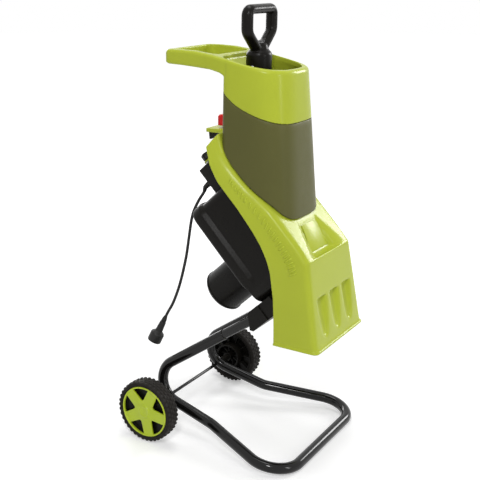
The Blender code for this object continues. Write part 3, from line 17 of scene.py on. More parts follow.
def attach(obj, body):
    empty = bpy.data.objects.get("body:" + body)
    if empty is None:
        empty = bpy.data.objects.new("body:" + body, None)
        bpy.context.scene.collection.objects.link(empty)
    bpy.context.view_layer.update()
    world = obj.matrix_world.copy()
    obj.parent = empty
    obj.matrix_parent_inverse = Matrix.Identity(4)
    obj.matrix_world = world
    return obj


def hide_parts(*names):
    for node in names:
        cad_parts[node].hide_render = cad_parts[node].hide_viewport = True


# The wheel axle is this far behind the row frame's origin
AXLE_Y = 0.1603
TILT = radians(46.0)
FLAT = Matrix.Identity(4)
MACHINE = Matrix.Translation((0, AXLE_Y, 0))
DECK = MACHINE @ Matrix.Rotation(TILT, 4, "X")
GAP = 0.0003
SIDES = ((-1, "right"), (1, "left"))

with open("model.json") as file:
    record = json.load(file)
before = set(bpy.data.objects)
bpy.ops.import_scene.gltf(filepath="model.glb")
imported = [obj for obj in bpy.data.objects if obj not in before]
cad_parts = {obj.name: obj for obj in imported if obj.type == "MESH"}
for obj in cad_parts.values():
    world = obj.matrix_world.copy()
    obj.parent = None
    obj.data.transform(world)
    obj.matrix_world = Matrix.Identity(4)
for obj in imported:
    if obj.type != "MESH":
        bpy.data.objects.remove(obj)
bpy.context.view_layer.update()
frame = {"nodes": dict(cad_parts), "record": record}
SLOTS = {row["node"]: row["material_slot"] for row in frame["record"]["subparts"]}
BODIES = {node: body for body, nodes in frame["record"]["behaviour"]["bodies"].items()
          for node in nodes}


# Materials

WHITE = (1.0, 1.0, 1.0, 1.0)
DUST_COLOUR = (0.42, 0.4, 0.36)
PATCHES, GLOSS_PATCHES, DUST_PATCHES = 9.0, 60.0, 22.0      # cells per metre
SCRATCHES, SCRATCH_STRETCH = 34.0, (1.0, 7.0, 1.6)
COAT_ROUGHNESS = 0.15


def fill(tree, node, inputs):
    """Set a node's inputs to values or to the outputs of other nodes."""
    for key, value in inputs.items():
        if isinstance(value, bpy.types.NodeSocket):
            tree.links.new(value, node.inputs[key])
        else:
            node.inputs[key].default_value = value


def add_node(tree, kind, inputs, output, **settings):
    """Add a shader node and return one of its outputs."""
    node = tree.nodes.new("ShaderNode" + kind)
    for key, value in settings.items():
        setattr(node, key, value)
    fill(tree, node, inputs)
    return node.outputs[output]


def noise(tree, cells, detail=3.0, stretch=None):
    """Noise over the piece, drawn out where stretch says so."""
    place = add_node(tree, "TexCoord", {}, "Object")
    if stretch:
        place = add_node(tree, "Mapping", {"Vector": place, "Scale": stretch}, "Vector")
    return add_node(tree, "TexNoise", {"Vector": place, "Scale": cells, "Detail": detail}, "Fac")


def spread(tree, source, low, high, start=0.3, end=0.7):
    """Map start to end onto low to high."""
    inputs = {"Value": source, "From Min": start, "From Max": end, "To Min": low, "To Max": high}
    return add_node(tree, "MapRange", inputs, "Result")


def combined(tree, operation, a, b):
    return add_node(tree, "Math", {0: a, 1: b}, "Value", operation=operation)


def mixed(tree, factor, base, colour):
    """The base colour, turned to another colour by the factor."""
    return add_node(tree, "Mix", {0: factor, 6: base, 7: (*colour, 1.0)}, 2, data_type="RGBA")


def node_material(name, colour, roughness, metallic=0.0, coat=0.0, grain=(900, 0.00006),
                  mottling=0.04, wear=0.0, dust=0.0, scuffs=0.0, specular=0.4, brushed=None):
    """Principled material with uneven colour and gloss. grain is (cells per metre, height).

    Wear lightens sharp edges, dust pales what faces up, scuffs are short pale scratches.
    """
    made = bpy.data.materials.new(name)
    made.use_nodes = True
    tree = made.node_tree
    pale = [min(1.0, c * 1.6 + 0.035) for c in colour]
    value = spread(tree, noise(tree, PATCHES), 1 - mottling, 1 + mottling)
    base = add_node(tree, "HueSaturation", {"Color": (*colour, 1.0), "Value": value}, "Color")
    if wear:
        edge = add_node(tree, "NewGeometry", {}, "Pointiness")
        base = mixed(tree, spread(tree, edge, 0, wear, 0.53, 0.62), base, pale)
    if scuffs:
        scratch = noise(tree, SCRATCHES, 4.0, SCRATCH_STRETCH)
        base = mixed(tree, spread(tree, scratch, 0, scuffs, 0.66, 0.74), base, pale)
    if dust:
        normal = add_node(tree, "NewGeometry", {}, "Normal")
        facing_up = add_node(tree, "SeparateXYZ", {"Vector": normal}, "Z")
        layer = combined(tree, "MULTIPLY", spread(tree, facing_up, 0, 1.0, 0.35, 0.95),
                         spread(tree, noise(tree, DUST_PATCHES, 5.0), 0.25, 1.0))
        base = mixed(tree, spread(tree, layer, 0, dust, 0, 1), base, DUST_COLOUR)
    rough = spread(tree, noise(tree, GLOSS_PATCHES, 2.0), roughness * (1 - mottling * 2),
                   roughness * (1 + mottling * 2))
    cells, height = grain
    relief = noise(tree, cells, 2.0, brushed)
    bump = add_node(tree, "Bump", {"Height": relief, "Distance": height, "Strength": 0.5}, "Normal")
    fill(tree, tree.nodes["Principled BSDF"], {
        "Base Color": base, "Roughness": rough, "Metallic": metallic, "Normal": bump,
        "Coat Weight": coat, "Coat Roughness": COAT_ROUGHNESS, "Specular IOR Level": specular})
    return made


MATERIALS = {
    "green_plastic": node_material(
        "moulded_green", (0.462, 0.533, 0.04), 0.26, coat=0.05, mottling=0.025, scuffs=0.05,
        wear=0.12, specular=0.16),
    "olive_plastic": node_material(
        "moulded_olive", (0.102, 0.1, 0.027), 0.44, grain=(1300, 0.0001), mottling=0.035,
        scuffs=0.04, specular=0.2),
    "black_plastic": node_material(
        "moulded_black", (0.0066, 0.0058, 0.0046), 0.3, grain=(1200, 0.0001), mottling=0.08,
        wear=0.2, dust=0.012, scuffs=0.03, specular=0.12),
    "black_paint": node_material(
        "gloss_black_paint", (0.006, 0.0058, 0.0055), 0.12, coat=0.1, grain=(420, 0.00006),
        mottling=0.08, wear=0.15, scuffs=0.03, specular=0.24),
    "rubber": node_material(
        "tyre_rubber", (0.0145, 0.0125, 0.0105), 0.66, grain=(1500, 0.00016), mottling=0.12,
        wear=0.35, dust=0.03, specular=0.15),
    "lime_plastic": node_material(
        "moulded_lime", (0.52, 0.65, 0.022), 0.3, coat=0.15, mottling=0.025, wear=0.25,
        specular=0.35),
    "red_plastic": node_material(
        "moulded_red", (0.66, 0.012, 0.012), 0.28, coat=0.1, grain=(900, 0.00005),
        mottling=0.03, wear=0.15, specular=0.15),
    "cord_jacket": node_material(
        "cord_jacket", (0.0095, 0.0092, 0.0085), 0.48, grain=(1500, 0.00008), mottling=0.08,
        specular=0.3),
    "steel": node_material(
        "bright_steel", (0.56, 0.56, 0.57), 0.28, metallic=1.0, grain=(700, 0.00004),
        mottling=0.08, wear=0.2, brushed=(1.0, 6.0, 6.0)),
    "copper": node_material(
        "winding_copper", (0.55, 0.24, 0.09), 0.38, metallic=1.0, grain=(500, 0.0002),
        mottling=0.1, brushed=(1.0, 1.0, 8.0)),
    "cast_aluminium": node_material(
        "cast_aluminium", (0.58, 0.59, 0.6), 0.46, metallic=1.0, grain=(380, 0.0002),
        mottling=0.08, wear=0.2),
}


# Camera, light and floor

CAMERA_PLACE = (-1.7444, -1.1486 + AXLE_Y, 1.0775)
CAMERA_FALL, CAMERA_TURN = 16.36, -56.5     # degrees below level, and about the vertical
SENSOR_WIDTH, LENS = 36.0, 67.5
CAMERA_SHIFT = (0.1002, -0.0173)
LAMPS = (("key", (-2.0, -0.9, 2.2), 0.6, (0.4, 0.7), 28),      # place, aimed height, size, power
         ("fill", (-0.4, -3.0, 1.5), 0.5, (0.4, 1.4), 16),
         ("window", (2.6, -1.2, 1.55), 0.6, (0.8, 0.85), 31),
         ("top", (0.2, 0.3, 3.0), 0.4, (0.8, 1.4), 20),
         ("rim", (1.6, 2.4, 1.6), 0.6, (0.5, 1.6), 18))
AMBIENT = 0.3
FLOOR_RADIUS, FLOOR_DROP = 14.0, 0.0004
FLOOR_PAINT = (0.82, 0.82, 0.82, 1)
GLOW_NEAR, GLOW_FAR = 0.36, 0.78     # shown by the floor itself, where the lamps reach it less
GLOW_REACH = (0.5, 2.4)              # metres from the middle


def in_scene(name, data):
    made = bpy.data.objects.new(name, data)
    bpy.context.scene.collection.objects.link(made)
    return made


def mesh_of(bm, name="shape"):
    mesh = bpy.data.meshes.new(name)
    bm.to_mesh(mesh)
    bm.free()
    return mesh


def make_camera():
    camera = in_scene("camera", bpy.data.cameras.new("camera"))
    camera.location = CAMERA_PLACE
    camera.rotation_euler = (radians(90 - CAMERA_FALL), 0, radians(CAMERA_TURN))
    camera.data.sensor_width = SENSOR_WIDTH
    camera.data.lens = LENS
    camera.data.shift_x, camera.data.shift_y = CAMERA_SHIFT
    bpy.context.scene.camera = camera


def make_lamp(name, place, aimed_height, size, power):
    light = bpy.data.lights.new(name, "AREA")
    light.shape = "RECTANGLE"
    light.size, light.size_y = size
    light.energy = power
    lamp = in_scene(name, light)
    lamp.location = place
    aim = Vector((0, 0, aimed_height)) - Vector(place)
    lamp.rotation_euler = aim.to_track_quat("-Z", "Y").to_euler()


def seen_share(tree):
    """One where the eye, a reflection or a clear piece looks straight at the surface."""
    total, *others = [add_node(tree, "LightPath", {}, f"Is {kind} Ray")
                      for kind in ("Camera", "Glossy", "Transmission")]
    for share in others:
        total = combined(tree, "MAXIMUM", total, share)
    return total


def make_studio():
    """Soft light from above and both sides, over a floor that shows white."""
    for lamp in LAMPS:
        make_lamp(*lamp)
    world = bpy.data.worlds.new("studio")
    bpy.context.scene.world = world
    world.use_nodes = True
    tree = world.node_tree
    strength = spread(tree, seen_share(tree), AMBIENT, 1.0, 0, 1)
    fill(tree, tree.nodes["Background"], {"Color": WHITE, "Strength": strength})

    bm = bmesh.new()
    bmesh.ops.create_circle(bm, cap_ends=True, segments=64, radius=FLOOR_RADIUS)
    floor = in_scene("floor", mesh_of(bm, "floor"))
    paint = bpy.data.materials.new("floor_paint")
    paint.use_nodes = True
    tree = paint.node_tree
    place = add_node(tree, "TexCoord", {}, "Object")
    reach = add_node(tree, "VectorMath", {0: place}, "Value", operation="LENGTH")
    glow = combined(tree, "MULTIPLY", spread(tree, reach, GLOW_NEAR, GLOW_FAR, *GLOW_REACH),
                    seen_share(tree))
    fill(tree, tree.nodes["Principled BSDF"], {
        "Base Color": FLOOR_PAINT, "Roughness": 0.9, "Specular IOR Level": 0,
        "Emission Color": WHITE, "Emission Strength": glow})
    floor.data.materials.append(paint)
    floor.location.z = -FLOOR_DROP


# Shapes

# Where an outline's point goes, square to an axis, at a height along it
ALONG = {"X": lambda a, b, h: (h, a, b), "Y": lambda a, b, h: (a, h, b),
         "Z": lambda a, b, h: (a, b, h)}


def skin(bm, loops, closed=False):
    """Bridge loops of equal length, and back to the first when closed."""
    rows = [[bm.verts.new(point) for point in loop] for loop in loops]
    for low, high in zip(rows, rows[1:] + rows[:int(closed)]):
        for i in range(len(low)):
            j = (i + 1) % len(low)
            bm.faces.new((low[i], low[j], high[j], high[i]))
    return rows


def ring_loft(loops):
    bm = bmesh.new()
    skin(bm, loops, closed=True)
    return bm


def solid_loft(loops, strips=False):
    """A solid through the loops. Strips cap loops whose points i and -i are mirrored."""
    bm = bmesh.new()
    rows = skin(bm, loops)
    for row in (rows[0], rows[-1]):
        if not strips:
            bm.faces.new(row)
            continue
        for i in range(len(row) // 2):
            corners = [row[i], row[i + 1], row[-(i + 1)], row[-i]]
            bm.faces.new([v for k, v in enumerate(corners) if v not in corners[:k]])
    return bm


def prism(profile, low, high, axis="X"):
    """Extrude a flat outline. X: outline is (y, z); Y: (x, z); Z: (x, y)."""
    return solid_loft([[ALONG[axis](a, b, h) for a, b in profile] for h in (low, high)])


def box(x, y, z):
    return prism([(x[0], y[0]), (x[1], y[0]), (x[1], y[1]), (x[0], y[1])], *z, "Z")


def polar(centre, radius, angle):
    return centre[0] + radius * cos(angle), centre[1] + radius * sin(angle)


def span(side, near, far):
    """Ascending ends along X of what lies on a side."""
    return sorted((side * near, side * far))


def with_mirror(half):
    return half + [(-x, y) for x, y in half[::-1]]


def offsets(base, *millimetres):
    """Points at offsets in millimetres from a base point."""
    return [(base[0] + a / 1000, base[1] + b / 1000) for a, b in millimetres]


def rounded_rectangle(x_low, x_high, y_low, y_high, radius, steps=8):
    corners = ((x_high - radius, y_high - radius), (x_low + radius, y_high - radius),
               (x_low + radius, y_low + radius), (x_high - radius, y_low + radius))
    return [polar(corner, radius, radians(90 * i + 90 * k / steps))
            for i, corner in enumerate(corners) for k in range(steps + 1)]


def eased(points, reach, steps=3, closed=True):
    """Round each corner of an outline with a small curve."""
    points = [Vector(p) for p in points]
    made = []
    for i, p in enumerate(points):
        if not closed and i in (0, len(points) - 1):
            made.append(p)
            continue
        before, after = points[i - 1] - p, points[(i + 1) % len(points)] - p
        a = p + before * min(0.45, reach / before.length)
        b = p + after * min(0.45, reach / after.length)
        for k in range(steps + 1):
            t = k / steps
            made.append(a * (1 - t) ** 2 + p * (2 * t * (1 - t)) + b * t * t)
    return made


def turned(profile, steps, axis="Z", centre=(0, 0), ring=False):
    """Revolve (radius, height) points. A ring's profile is closed and clear of the axis."""
    loops = [[ALONG[axis](*polar(centre, r, tau * (k + 0.5) / steps), h)
              for k in range(steps)] for r, h in profile]
    return ring_loft(loops) if ring else solid_loft(loops)


def rod(radius, low, high, steps=32, axis="Z", centre=(0, 0), ease=0.0006):
    profile = [(radius - ease, low), (radius - ease * 0.3, low + ease * 0.3), (radius, low + ease)]
    profile += [(r, low + high - h) for r, h in profile[::-1]]
    return turned(profile, steps, axis, centre)


def sleeve(inner, outer, low, high, steps=32, axis="Z", centre=(0, 0), ease=0.0005):
    profile = [(inner, low), (outer, low), (outer, high), (inner, high)]
    return turned(eased(profile, ease), steps, axis, centre, ring=True)


def rounded_path(corners, radii, degrees_per_step=5.0):
    """Replace each inner corner of a polyline by an arc."""
    corners = [Vector(c) for c in corners]
    path = [corners[0]]
    for before, corner, after, radius in zip(corners, corners[1:], corners[2:], radii):
        inward, outward = (before - corner).normalized(), (after - corner).normalized()
        half = inward.angle(outward) / 2
        centre = corner + (inward + outward).normalized() * (radius / sin(half))
        start = corner + inward * (radius / tan(half)) - centre
        end = corner + outward * (radius / tan(half)) - centre
        turn = start.angle(end)
        steps = max(2, round(degrees(turn) / degrees_per_step))
        axis = start.cross(end).normalized()
        for k in range(steps + 1):
            path.append(centre + Matrix.Rotation(turn * k / steps, 3, axis) @ start)
    return path + [corners[-1]]


def swept(path, radii, sides=32, flatten=1.0, side_axis=None):
    """A bar along a path, with a radius for each point."""
    path = [Vector(p) for p in path]
    tangents = []
    for i in range(len(path)):
        ahead = path[min(i + 1, len(path) - 1)] - path[i]
        behind = path[i] - path[max(i - 1, 0)]
        tangents.append((ahead.normalized() + behind.normalized()).normalized())
    normal = tangents[0].orthogonal()
    turns = [tau * (k + 0.5) / sides for k in range(sides)]
    loops = []
    for point, tangent, radius in zip(path, tangents, radii):
        if side_axis:
            normal = Vector(side_axis).cross(tangent)
        normal = (normal - tangent * normal.dot(tangent)).normalized()
        other = tangent.cross(normal)
        loops.append([point + normal * (radius * cos(turn))
                      + other * (radius * flatten * sin(turn)) for turn in turns])
    return solid_loft(loops)


def placed(bm, space=FLAT):
    """The mesh of a bmesh in its space, with its faces pointing out."""
    bmesh.ops.recalc_face_normals(bm, faces=bm.faces)
    bm.transform(space)
    return mesh_of(bm)


def joined(*parts):
    whole = bmesh.new()
    for bm in parts:
        mesh = placed(bm)
        whole.from_mesh(mesh)
        bpy.data.meshes.remove(mesh)
    return whole


def shade(mesh, angle=40.0):
    mesh.shade_smooth()
    mesh.set_sharp_from_angle(angle=radians(angle))


def add_piece(name, mesh, node=None, slot=None, body=None):
    """Show a mesh as a piece, with slot and body of the node that it stands for."""
    slot, body = slot or SLOTS[node], body or BODIES[node]
    mesh.name = name
    mesh.materials.clear()
    mesh.materials.append(MATERIALS[slot])
    piece = in_scene(name, mesh)
    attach(piece, body)
    if node:
        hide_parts(node)
    return piece


def show(name, bm, node=None, space=MACHINE, angle=50.0, **kind):
    """Show a bmesh as a piece whose edges look sharp above an angle."""
    mesh = placed(bm, space)
    shade(mesh, angle)
    return add_piece(name, mesh, node, **kind)


def worked(mesh, *steps):
    """Run modifiers on a mesh and return the result. A step is (kind, settings)."""
    used = [in_scene("work", mesh)]
    for kind, settings in steps:
        modifier = used[0].modifiers.new(kind, kind)
        for key, value in settings.items():
            if key == "object":
                value = in_scene("tool", value)
                used.append(value)
            setattr(modifier, key, value)
    bpy.context.view_layer.update()
    graph = bpy.context.evaluated_depsgraph_get()
    result = bpy.data.meshes.new_from_object(used[0].evaluated_get(graph))
    for item in used:
        data = item.data
        bpy.data.objects.remove(item, do_unlink=True)
        bpy.data.meshes.remove(data)
    return result


def cut(mesh, *tools, operation="DIFFERENCE"):
    """Cut or join solids one after the other."""
    settings = {"operation": operation, "solver": "EXACT"}
    return worked(mesh, *[("BOOLEAN", {**settings, "object": tool}) for tool in tools])


def bevelled(mesh, width=0.0008, segments=3, angle=32.0):
    """Small rounded edges all over a boxy piece."""
    made = worked(mesh, ("BEVEL", {
        "width": width, "segments": segments, "limit_method": "ANGLE",
        "angle_limit": radians(angle), "miter_outer": "MITER_ARC", "use_clamp_overlap": True}))
    shade(made, 28.0)
    return made


def melted(mesh, voxel, rounds, keep):
    """One smooth skin over joined solids, with filleted edges."""
    made = worked(mesh, ("REMESH", {"mode": "VOXEL", "voxel_size": voxel}),
                  ("SMOOTH", {"factor": 0.5, "iterations": rounds}),
                  ("DECIMATE", {"decimate_type": "COLLAPSE", "ratio": keep}))
    made.shade_smooth()
    return made


def node_copy(node):
    """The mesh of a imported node, with its triangles joined to flat faces."""
    bm = bmesh.new()
    bm.from_mesh(frame["nodes"][node].data)
    bmesh.ops.remove_doubles(bm, verts=bm.verts, dist=0.00002)
    bmesh.ops.dissolve_limit(bm, angle_limit=radians(1.0), verts=bm.verts, edges=bm.edges)
    return mesh_of(bm)


def from_deck(u, m):
    """Machine coordinates (y, z) of deck coordinates."""
    return u * cos(TILT) - m * sin(TILT), u * sin(TILT) + m * cos(TILT)


def deck_point(u, m, x=0.0):
    return Vector((x, *from_deck(u, m)))


def clamped(value, low=0.0, high=1.0):
    return min(max(value, low), high)


def between(x, table):
    """Straight-line interpolation in a table of (x, value)."""
    i = clamped(bisect.bisect_left([row[0] for row in table], x), 1, len(table) - 1)
    (x0, v0), (x1, v1) = table[i - 1], table[i]
    return v0 + (v1 - v0) * clamped((x - x0) / (x1 - x0))


# The hanging lead and its ends

CORD_RADIUS = 0.0035
GLAND_X, GLAND_U = -0.05, 0.3825
SWITCH_BOX_LOW_M = 0.48
GLAND_LENGTH = 0.016
CORD_START = 0.0012         # from the solid gland's end to the cord's
RELIEF_LENGTH = 0.031
RELIEF_RIBS, RELIEF_PITCH, FIRST_RELIEF_RIB = 7, 0.0032, 0.0062
RELIEF_STEPS = ((0, 0.0007), (0.22, 0.0007), (0.34, 0), (0.84, 0), (0.96, 0.0007))
PLUG_RINGS, PLUG_PITCH = 3, 0.0018
BLADE_X, BLADE_HALF = 0.00635, 0.00075
BLADE_REACH = (0.0585, 0.0708)
HANGING = ((-0.0505, -0.0607, 0.5817), (-0.0515, -0.0477, 0.5611), (-0.053, -0.0348, 0.5344),
           (-0.054, -0.0285, 0.5107), (-0.055, -0.0249, 0.486), (-0.0565, -0.0202, 0.4487),
           (-0.0575, -0.0166, 0.4235), (-0.0585, -0.0115, 0.3979), (-0.061, -0.0044, 0.3645),
           (-0.064, 0.0038, 0.3333), (-0.068, 0.0159, 0.2986), (-0.072, 0.0281, 0.274),
           (-0.074, 0.0328, 0.2632))
PLUG_END = Vector((-0.0885, 0.0583, 0.1993))


def smooth_route(points, count):
    """Even points along a Catmull-Rom curve through the route."""
    padded = [points[0] * 2 - points[1]] + points + [points[-1] * 2 - points[-2]]
    dense = []
    for a, b, c, d in zip(padded, padded[1:], padded[2:], padded[3:]):
        for k in range(12):
            t = k / 12
            dense.append(0.5 * (2 * b + (c - a) * t + (2 * a - 5 * b + 4 * c - d) * t * t
                                + (3 * b - 3 * c + d - a) * t ** 3))
    dense.append(points[-1])
    lengths = [0.0]
    for a, b in zip(dense, dense[1:]):
        lengths.append(lengths[-1] + (b - a).length)
    even = []
    for k in range(count):
        target = lengths[-1] * k / (count - 1)
        i = clamped(bisect.bisect_left(lengths, target), 1, len(dense) - 1)
        step = lengths[i] - lengths[i - 1]
        even.append(dense[i - 1].lerp(dense[i], (target - lengths[i - 1]) / step))
    return even, lengths[-1]


def make_cord():
    """The hanging lead, from the strain relief down to the plug."""
    out = deck_point(0, -1)
    start = deck_point(GLAND_U, SWITCH_BOX_LOW_M - 2 * GAP - GLAND_LENGTH, GLAND_X)
    start += out * CORD_START
    even, length = smooth_route([start, start + out * 0.004] + [Vector(p) for p in HANGING], 90)
    relief = make_strain_relief(even, out)
    plug, blades = make_plug(even[-1])
    curve = bpy.data.curves.new("lead", "CURVE")
    curve.dimensions = "3D"
    curve.bevel_depth = CORD_RADIUS
    curve.bevel_resolution = 6
    curve.use_fill_caps = True
    spline = curve.splines.new("POLY")
    spline.points.add(len(even) - 1)
    for point, position in zip(spline.points, even):
        point.co = (*(MACHINE @ position), 1.0)
    curve.materials.append(MATERIALS["cord_jacket"])
    lead = in_scene("lead", curve)
    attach(lead, "stand")
    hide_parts("power_cord")


def make_strain_relief(even, out):
    """Tapered, ribbed sleeve that follows the lead's first bend."""
    top = deck_point(GLAND_U, SWITCH_BOX_LOW_M - GAP, GLAND_X)
    straight = GLAND_LENGTH + CORD_START
    spacing = (even[1] - even[0]).length
    rings = [(0, 0.008), (0.0006, 0.0085), (0.004, 0.0085), (0.0048, 0.0078)]
    for k in range(RELIEF_RIBS):
        taper = 0.0066 - 0.0018 * k / (RELIEF_RIBS - 1)
        low = FIRST_RELIEF_RIB + k * RELIEF_PITCH
        rings += [(low + share * RELIEF_PITCH, taper - inset) for share, inset in RELIEF_STEPS]
    rings += [(FIRST_RELIEF_RIB + RELIEF_RIBS * RELIEF_PITCH + 0.001, 0.0043),
              (RELIEF_LENGTH, 0.004)]
    path = []
    for distance, _ in rings:
        if distance <= straight:
            path.append(top + out * distance)
        else:
            beyond = (distance - straight) / spacing
            k = int(beyond)
            path.append(even[k].lerp(even[k + 1], beyond - k))
    return show("strain_relief", swept(path, [radius for _, radius in rings], 28), "cord_gland",
                angle=60, slot="cord_jacket")


def make_plug(end):
    """Hooded plug with finger ribs, two flat blades and an earth pin."""
    along = (PLUG_END - end).normalized()
    space = MACHINE @ Matrix.Translation(end) @ along.to_track_quat("Z", "Y").to_matrix().to_4x4()
    profile = [(0.0042, GAP), (0.0062, 0.01)]
    for k in range(PLUG_RINGS):
        low = 0.011 + PLUG_PITCH * k
        profile += [(0.0064, low), (0.0056, low + 0.0004), (0.0056, low + 0.001),
                    (0.0066, low + 0.0014)]
    profile += offsets((0, 0), (7.4, 17), (9, 42), (16, 48), (17, 50.5), (17, 71.5),
                       (14.5, 71.5), (14.5, 60), (10, 60))
    plug = show("plug_body", turned(eased(profile, 0.0008, 3, closed=False), 56), "plug", space,
                slot="cord_jacket")
    blades = [box((side * BLADE_X - BLADE_HALF, side * BLADE_X + BLADE_HALF), (-0.0022, 0.0042),
                  BLADE_REACH) for side, _ in SIDES]
    pin = rod(0.0024, *BLADE_REACH, 20, "Z", (0, -0.008), 0.0008)
    metal = bevelled(placed(joined(*blades, pin), space), 0.0003, 2)
    return plug, add_piece("plug_blades", metal, slot="steel", body="stand")


# Tube stand and wheels

WHEEL_RADIUS = 0.075
WHEEL_CENTRE = (0, WHEEL_RADIUS)
WHEEL_OUTER_X = 0.2146
TIRE_WIDTH = 0.037
TIRE_WALL = 0.0122
RIM_RADIUS = WHEEL_RADIUS - TIRE_WALL - 0.0008     # with a small gap to the tyre's seat
AXLE_RADIUS = 0.004
HUB_REACH = 0.0535
TUBE_RADIUS = 0.0125
ARM_RADIUS = 0.011
STAND_KNEE = (0.1256, -0.1337, 0.0436)
STAND_FRONT = (0.2153, -0.3611)
AXLE_TUBE_X = 0.1156
ARM_SLOPE = radians(35.5)
ARM_HEIGHT_AT_AXLE = 0.1603
ARM_JOINT = (0.1, -0.15)
ARM_REACH = 0.128
STAND_BENDS = [0.053, 0.06, 0.065]      # radii at the rear, the knee and the front
TUBE_LIP = ((0, 0.0014), (0.0004, 0.0005), (0.0014, 0))      # distance from the end, inset
ARM_SUNK = 0.02
ARM_SEAL = ((-0.0008, 0.0112), (0, 0.0121), (0.0012, 0.0121), (0.0018, 0.0112))   # place, radius
AXLE_INSET = 0.008
SPACER_RADIUS, SPACER_PLAY = 0.008, 0.0016
HUB_RADIUS, DRUM_RADIUS = 0.011, 0.033
WHEEL_WALL, WEB_THICKNESS = 0.004, 0.003
WEB_INSET, RIM_INSET, REAR_INSET = 0.0155, 0.006, 0.002
WHEEL_RIBS, WHEEL_RIB_HALF = 10, 0.001
HUB_RIB_DEPTH, RIM_RIB_DEPTH = 0.02, 0.012
CLIP_RADIUS, CLIP_THICKNESS, CLIP_INSET = 0.009, 0.0025, 0.0125
SPOKES, SPOKE_TURN = 5, radians(78.5)
WINDOW_TURNS = (-23, -12, 0, 12, 23), (5.5, -5.5)      # degrees, beside the rim and the hub
WINDOW_RADII = RIM_RADIUS - 0.0036, 0.028
WINDOW_CORNER = 0.0028
KNOBS = 38
KNOB_HALF_LENGTH, KNOB_ROOT, KNOB_EDGE = 0.004, 0.0012, 0.0006
KNOB_ROWS = ((-0.015, 0.006, 0.0722, 0.0742), (-0.0075, 0.0058, 0.0715, 0.075),
             (0, 0.0058, 0.0715, 0.075), (0.0075, 0.0058, 0.0715, 0.075),
             (0.015, 0.006, 0.0722, 0.0742))      # offset, width, foot and top radius
KNOB_CORNERS = ((-1, 0), (-0.55, -1), (0.55, -1), (1, 0), (0.55, 1), (-0.55, 1))


def arm_point(distance, side):
    """A point on the upper arm, measured from its joint towards the bracket."""
    rise = -ARM_JOINT[1] * tan(ARM_SLOPE)
    start = Vector((side * ARM_JOINT[0], ARM_JOINT[1], ARM_HEIGHT_AT_AXLE + rise))
    return start + Vector((0, -cos(ARM_SLOPE), sin(ARM_SLOPE))) * distance


def stand_corners(side):
    """Corner points of one side of the bent tube, from the arm joint to the front."""
    knee_x, knee_y, knee_z = STAND_KNEE
    lower_slope = (knee_z - WHEEL_RADIUS) / knee_y
    tube_spread = (knee_x - AXLE_TUBE_X) / -knee_y
    rear_y = (ARM_HEIGHT_AT_AXLE - WHEEL_RADIUS) / (lower_slope + tan(ARM_SLOPE))
    rear_z = WHEEL_RADIUS + lower_slope * rear_y
    return [arm_point(0, side), (side * (AXLE_TUBE_X - tube_spread * rear_y), rear_y, rear_z),
            (side * knee_x, knee_y, knee_z),
            (side * STAND_FRONT[0], STAND_FRONT[1], TUBE_RADIUS)]


def make_stand():
    path = rounded_path(stand_corners(-1) + stand_corners(1)[::-1],
                        STAND_BENDS + STAND_BENDS[::-1])
    first, last = (path[1] - path[0]).normalized(), (path[-2] - path[-1]).normalized()
    start = [path[0] + first * step for step, _ in TUBE_LIP]
    finish = [path[-1] + last * step for step, _ in TUBE_LIP][::-1]
    edge = [TUBE_RADIUS - inset for _, inset in TUBE_LIP]
    radii = edge + [TUBE_RADIUS] * (len(path) - 2) + edge[::-1]
    show("bent_tube", swept(start + path[1:-1] + finish, radii), "stand_tube")
    for side, word in SIDES:
        arm = [arm_point(distance, side) for distance in (-ARM_SUNK, ARM_REACH)]
        show(f"arm_tube_{word}", swept(arm, [ARM_RADIUS] * 2), f"upper_arm_{word}")
        seal = [arm_point(distance, side) for distance, _ in ARM_SEAL]
        show(f"arm_seal_{word}", swept(seal, [radius for _, radius in ARM_SEAL]),
             slot="black_plastic", body="stand")
        ends = span(side, AXLE_TUBE_X + TUBE_RADIUS + SPACER_PLAY,
                    WHEEL_OUTER_X - HUB_REACH - GAP)
        spacer = sleeve(AXLE_RADIUS + GAP, SPACER_RADIUS, *ends, 36, "X", WHEEL_CENTRE)
        show(f"spacer_{word}", spacer, f"axle_spacer_{word}")
    reach = WHEEL_OUTER_X - AXLE_INSET
    show("axle", rod(AXLE_RADIUS, -reach, reach, 28, "X", WHEEL_CENTRE), "axle_rod")


def tread_knobs(side):
    """Rows of tapered knobs, each set off by half a pitch from the last."""
    knobs = []
    for row, (offset, width, foot, top) in enumerate(KNOB_ROWS):
        centre = side * (WHEEL_OUTER_X - TIRE_WIDTH / 2 + offset)
        for k in range(KNOBS):
            angle = tau * (k + 0.5 * (row % 2)) / KNOBS
            loops = []
            for radius, share in ((foot - KNOB_ROOT, 1.0), (top - KNOB_EDGE, 0.84), (top, 0.7)):
                half_x, half_turn = width / 2 * share, KNOB_HALF_LENGTH * share / radius
                loops.append([(centre + half_x * a,
                               *polar(WHEEL_CENTRE, radius, angle + half_turn * b))
                              for a, b in KNOB_CORNERS])
            knobs.append(solid_loft(loops))
    return knobs


def wheel_ring(side, profile, steps, ease, ease_steps=3):
    """A ring about the axle from (radius, x) points, with its corners eased."""
    return turned([(r, side * x) for r, x in eased(profile, ease, ease_steps)], steps, "X",
                  WHEEL_CENTRE, ring=True)


